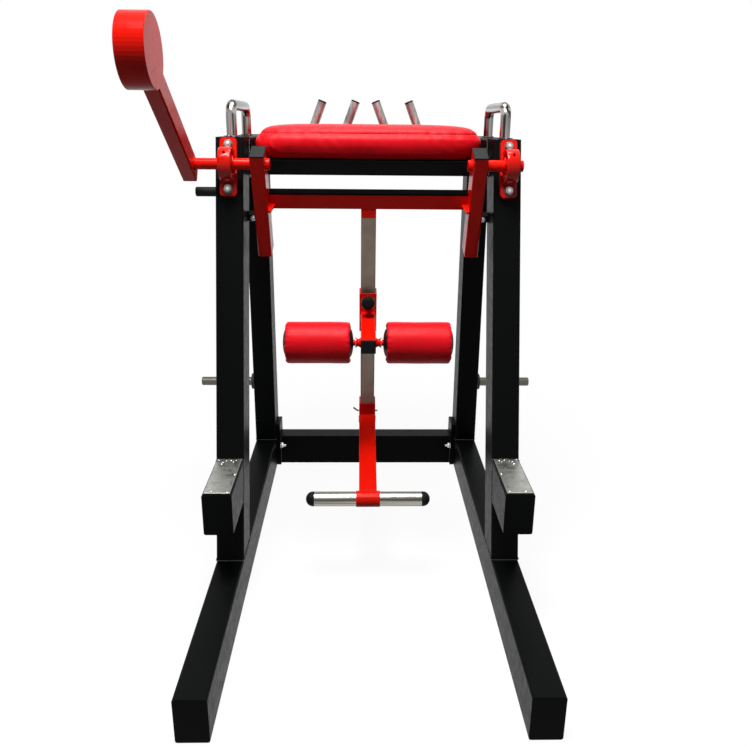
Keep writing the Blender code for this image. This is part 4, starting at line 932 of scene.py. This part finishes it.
def body_pad():
    """Pad cover: blown-up sides and crown, a sewn groove round the top panel and puckers."""
    low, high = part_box("body_pad")
    centre = (low + high) / 2
    board_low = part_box("pad_board")[0].z + 0.0004
    side_gap, end_gap, top_gap = 0.0035, 0.0030, 0.0010
    fullness, turn_in, base_run = 0.72, 0.013, 0.025

    def free(place):
        return ramp(place.z, board_low, base_run)

    pad = swollen("body_pad_cover", "body_pad", shrink=(0.0050, 0.0050, 0.0030), voxel=0.0062,
                  cap=0.0075, free=free, drop=low.z - board_low)
    fit_to(pad, (low.x - side_gap, low.y - end_gap, board_low),
           (high.x + side_gap, high.y + end_gap, high.z + top_gap))
    calm(pad, 6)
    seam_z = low.z + PAD_SEAM
    crown = high.z + top_gap - seam_z
    bulge_z = low.z + PAD_BULGE
    for vertex in pad.data.vertices:
        spot = vertex.co
        if spot.z > seam_z:
            spot.z = seam_z + crown * max(0.0, (spot.z - seam_z) / crown) ** fullness
        elif spot.z < bulge_z:
            under = turn_in * ((bulge_z - spot.z) / (bulge_z - board_low)) ** 2
            past_x = max(0.0, abs(spot.x) - PAD_FLAT_HALF_WIDTH)
            past_y = max(0.0, abs(spot.y - centre.y) - PAD_FLAT_HALF_LENGTH)
            away = Vector((past_x if spot.x > 0 else -past_x,
                           past_y if spot.y > centre.y else -past_y, 0))
            if away.length > 0.02:
                vertex.co -= away.normalized() * under
    seam = pad_line(pad, PAD_SEAM, 420)
    tree = KDTree(len(seam))
    for index, point in enumerate(seam):
        tree.insert(point, index)
    tree.balance()
    cut_depth, cut_reach = 0.0022, 0.0030
    valley_depth, valley_reach = 0.0034, 0.014
    gather_depth, corner_depth, gather_reach = 0.0003, 0.0009, 0.011
    dent_depth = 0.0010
    for vertex in pad.data.vertices:
        point, index, away = tree.find(vertex.co)
        outward = Vector((vertex.co.x - centre.x, vertex.co.y - centre.y, 0.02)).normalized()
        if away < 0.040:
            groove = cut_depth * bell(away, cut_reach) + valley_depth * bell(away, valley_reach)
            reach = abs(point.x) / PAD_HALF_WIDTH + abs(point.y - centre.y) / PAD_HALF_LENGTH
            pucker = gather_depth + corner_depth * ramp(reach, 1.35, 0.35)
            gather = pucker * math.sin(index * 1.05) * bell(away, gather_reach)
            vertex.co -= outward * (groove + gather)
        soft = noise.noise(Vector((vertex.co.x * 11, vertex.co.y * 11, vertex.co.z * 16)))
        vertex.co += outward * (dent_depth * soft) * ramp(vertex.co.z, low.z, base_run)
        vertex.co.z = min(max(vertex.co.z, board_low), high.z + 0.004)
    finish_soft(pad, ("body_pad", "pad_board"), "machine_frame")
    bm = bmesh.new()
    line = pad_line(pad, PAD_SEAM, 900)
    sweep(bm, [point + Vector((0, 0, 0.0001)) for point in line], 0.0008, 6, True, 0.22, 0.0052)
    new_piece("pad_seam_thread", bm, "thread", "machine_frame")
    bm = bmesh.new()
    for offset in (STITCH_OFFSET, -STITCH_OFFSET):
        line = pad_line(pad, PAD_SEAM + offset, 1400)
        travelled = 0.0
        run = []
        for before, point in zip(line, line[1:] + line[:1]):
            travelled += (point - before).length
            if travelled % STITCH_PITCH < STITCH_LENGTH:
                run.append(point)
            else:
                if len(run) > 1:
                    sweep(bm, run, 0.00042, 5, False)
                run = []
    new_piece("pad_top_stitches", bm, "thread", "machine_frame")


def padded_rollers():
    """Roller covers: soft swell, gathered ends with a lip and one crease along the length."""
    edge_start, edge_power, edge_limit = 0.80, 22, 1.06
    core_radius = 0.025
    pleats, pleat_depth = 23, 0.0004
    crease_angle, crease_depth, crease_reach = -0.6, 0.0022, 0.0026
    wave_depth = 0.0007
    lip_size, lip_change = 0.0026, 0.0016

    def free(place):
        reach = math.hypot(place.y - AXLE.y, place.z - AXLE.z)
        return 1.0 if reach > 0.030 else 0.05

    for sign, side in SIDES:
        node = side + "_roller_foam"
        low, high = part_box(node)
        roller = swollen(side + "_roller_cover", node, shrink=(0.0006, 0.0010, 0.0010),
                         voxel=0.0040, cap=0.0016, free=free)
        middle = (low.x + high.x) / 2
        reach = Vector((FOAM_LENGTH / 2, COVER_RADIUS, COVER_RADIUS))
        heart = Vector((middle, AXLE.y, AXLE.z))
        fit_to(roller, heart - reach, heart + reach)
        for vertex in roller.data.vertices:
            share = abs(vertex.co.x - middle) / (FOAM_LENGTH / 2)
            round_share = math.hypot(vertex.co.y - AXLE.y, vertex.co.z - AXLE.z) / COVER_RADIUS
            if round_share > edge_start:
                square = (share ** edge_power + round_share ** edge_power) ** (-1 / edge_power)
                vertex.co = heart + (vertex.co - heart) * min(edge_limit, square)
            y = vertex.co.y - AXLE.y
            z = vertex.co.z - AXLE.z
            radius = math.hypot(y, z)
            angle = math.atan2(z, y)
            if radius < core_radius:
                continue
            out = abs(vertex.co.x - middle) / (FOAM_LENGTH / 2)
            drift = 3 * noise.noise(Vector((angle, middle, 0)))
            pleat = pleat_depth * ramp(out, 0.80, 0.20) * math.sin(pleats * angle + drift)
            crease = crease_depth * bell((angle - crease_angle) * radius, crease_reach)
            spot = Vector((vertex.co.x * 16, math.cos(angle) * 1.6, math.sin(angle) * 1.6))
            wave = wave_depth * noise.noise(spot)
            scale = (radius + pleat - crease + wave) / radius
            vertex.co.y = AXLE.y + y * scale
            vertex.co.z = AXLE.z + z * scale
            lip = ramp(radius, 0.0455, 0.0060) * ramp(out, 0.86, 0.14)
            ragged = lip_size + lip_change * math.sin(9 * angle + 2 * sign) * math.cos(4 * angle)
            vertex.co.x += math.copysign(ragged * lip, vertex.co.x - middle)
        finish_soft(roller, (node,), side + "_roller")


def white_rays(tree):
    """1 for camera, glossy and transmission rays, which see white surroundings, and else 0."""
    path = add_node(tree, "ShaderNodeLightPath").outputs
    seen = {0: path["Is Camera Ray"], 1: path["Is Glossy Ray"]}
    seen = add_node(tree, "ShaderNodeMath", seen, operation="MAXIMUM").outputs[0]
    also = {0: seen, 1: path["Is Transmission Ray"]}
    return add_node(tree, "ShaderNodeMath", also, operation="MAXIMUM").outputs[0]


def floor_paint():
    """White where it is seen, with a soft shadow near the middle, and dull for other rays."""
    paint = bpy.data.materials.new("pale floor")
    paint.use_nodes = True
    tree = paint.node_tree
    tree.nodes.clear()
    dull = add_node(tree, "ShaderNodeBsdfDiffuse", {"Color": (0.13, 0.13, 0.13, 1)}).outputs[0]
    white = add_node(tree, "ShaderNodeBsdfDiffuse", {"Color": (0.9, 0.9, 0.9, 1)}).outputs[0]
    glow = add_node(tree, "ShaderNodeEmission").outputs[0]
    place = add_node(tree, "ShaderNodeTexCoord").outputs["Object"]
    distance = add_node(tree, "ShaderNodeVectorMath", {0: place}, operation="LENGTH")
    fade = add_node(tree, "ShaderNodeMapRange",
                    {"Value": distance.outputs["Value"], "From Min": 0.9, "From Max": 2.2,
                     "To Min": 0.93, "To Max": 1.0}).outputs[0]
    share = add_node(tree, "ShaderNodeMixShader", {0: fade, 1: white, 2: glow}).outputs[0]
    choose = add_node(tree, "ShaderNodeMixShader", {0: white_rays(tree), 1: dull, 2: share})
    add_node(tree, "ShaderNodeOutputMaterial", {0: choose.outputs[0]})
    return paint


def stage():
    """White floor and surroundings, and soft lamps over the front."""
    bm = bmesh.new()
    bmesh.ops.create_grid(bm, x_segments=1, y_segments=1, size=9)
    mesh = bpy.data.meshes.new("floor")
    bm.to_mesh(mesh)
    bm.free()
    mesh.materials.append(floor_paint())
    floor = bpy.data.objects.new("floor", mesh)
    floor.location = (0, 0, -0.0006)
    bpy.context.scene.collection.objects.link(floor)

    world = bpy.data.worlds.new("studio")
    world.use_nodes = True
    tree = world.node_tree
    tree.nodes.clear()
    strength = add_node(tree, "ShaderNodeMapRange",
                        {"Value": white_rays(tree), "To Min": SURROUNDING_LIGHT,
                         "To Max": 1.0}).outputs[0]
    sky = add_node(tree, "ShaderNodeBackground", {"Color": (1, 1, 1, 1), "Strength": strength})
    add_node(tree, "ShaderNodeOutputWorld", {0: sky.outputs[0]})
    bpy.context.scene.world = world

    lamps = (
        ("key", (-0.3, -0.90, 3.90), (0, 0, 0.75), 1.2, 175),
        ("overhead", (0.1, 0.7, 3.6), (0, 0.3, 0.6), 1.2, 45),
    )
    for name, place, aim, size, energy in lamps:
        light = bpy.data.lights.new(name, "AREA")
        light.size = size
        light.energy = energy
        lamp = bpy.data.objects.new(name, light)
        lamp.location = place
        lamp.rotation_euler = (Vector(aim) - Vector(place)).to_track_quat("-Z", "Y").to_euler()
        bpy.context.scene.collection.objects.link(lamp)


frame_welds()
pendulum_welds()
crossbar_shade_strip()
axle_trim()
frame_bolts()
block_bolts()
u_handles()
housing_bands()
bearing_trim()
grip_plugs()
step_tacks()
body_pad()
padded_rollers()
stage()
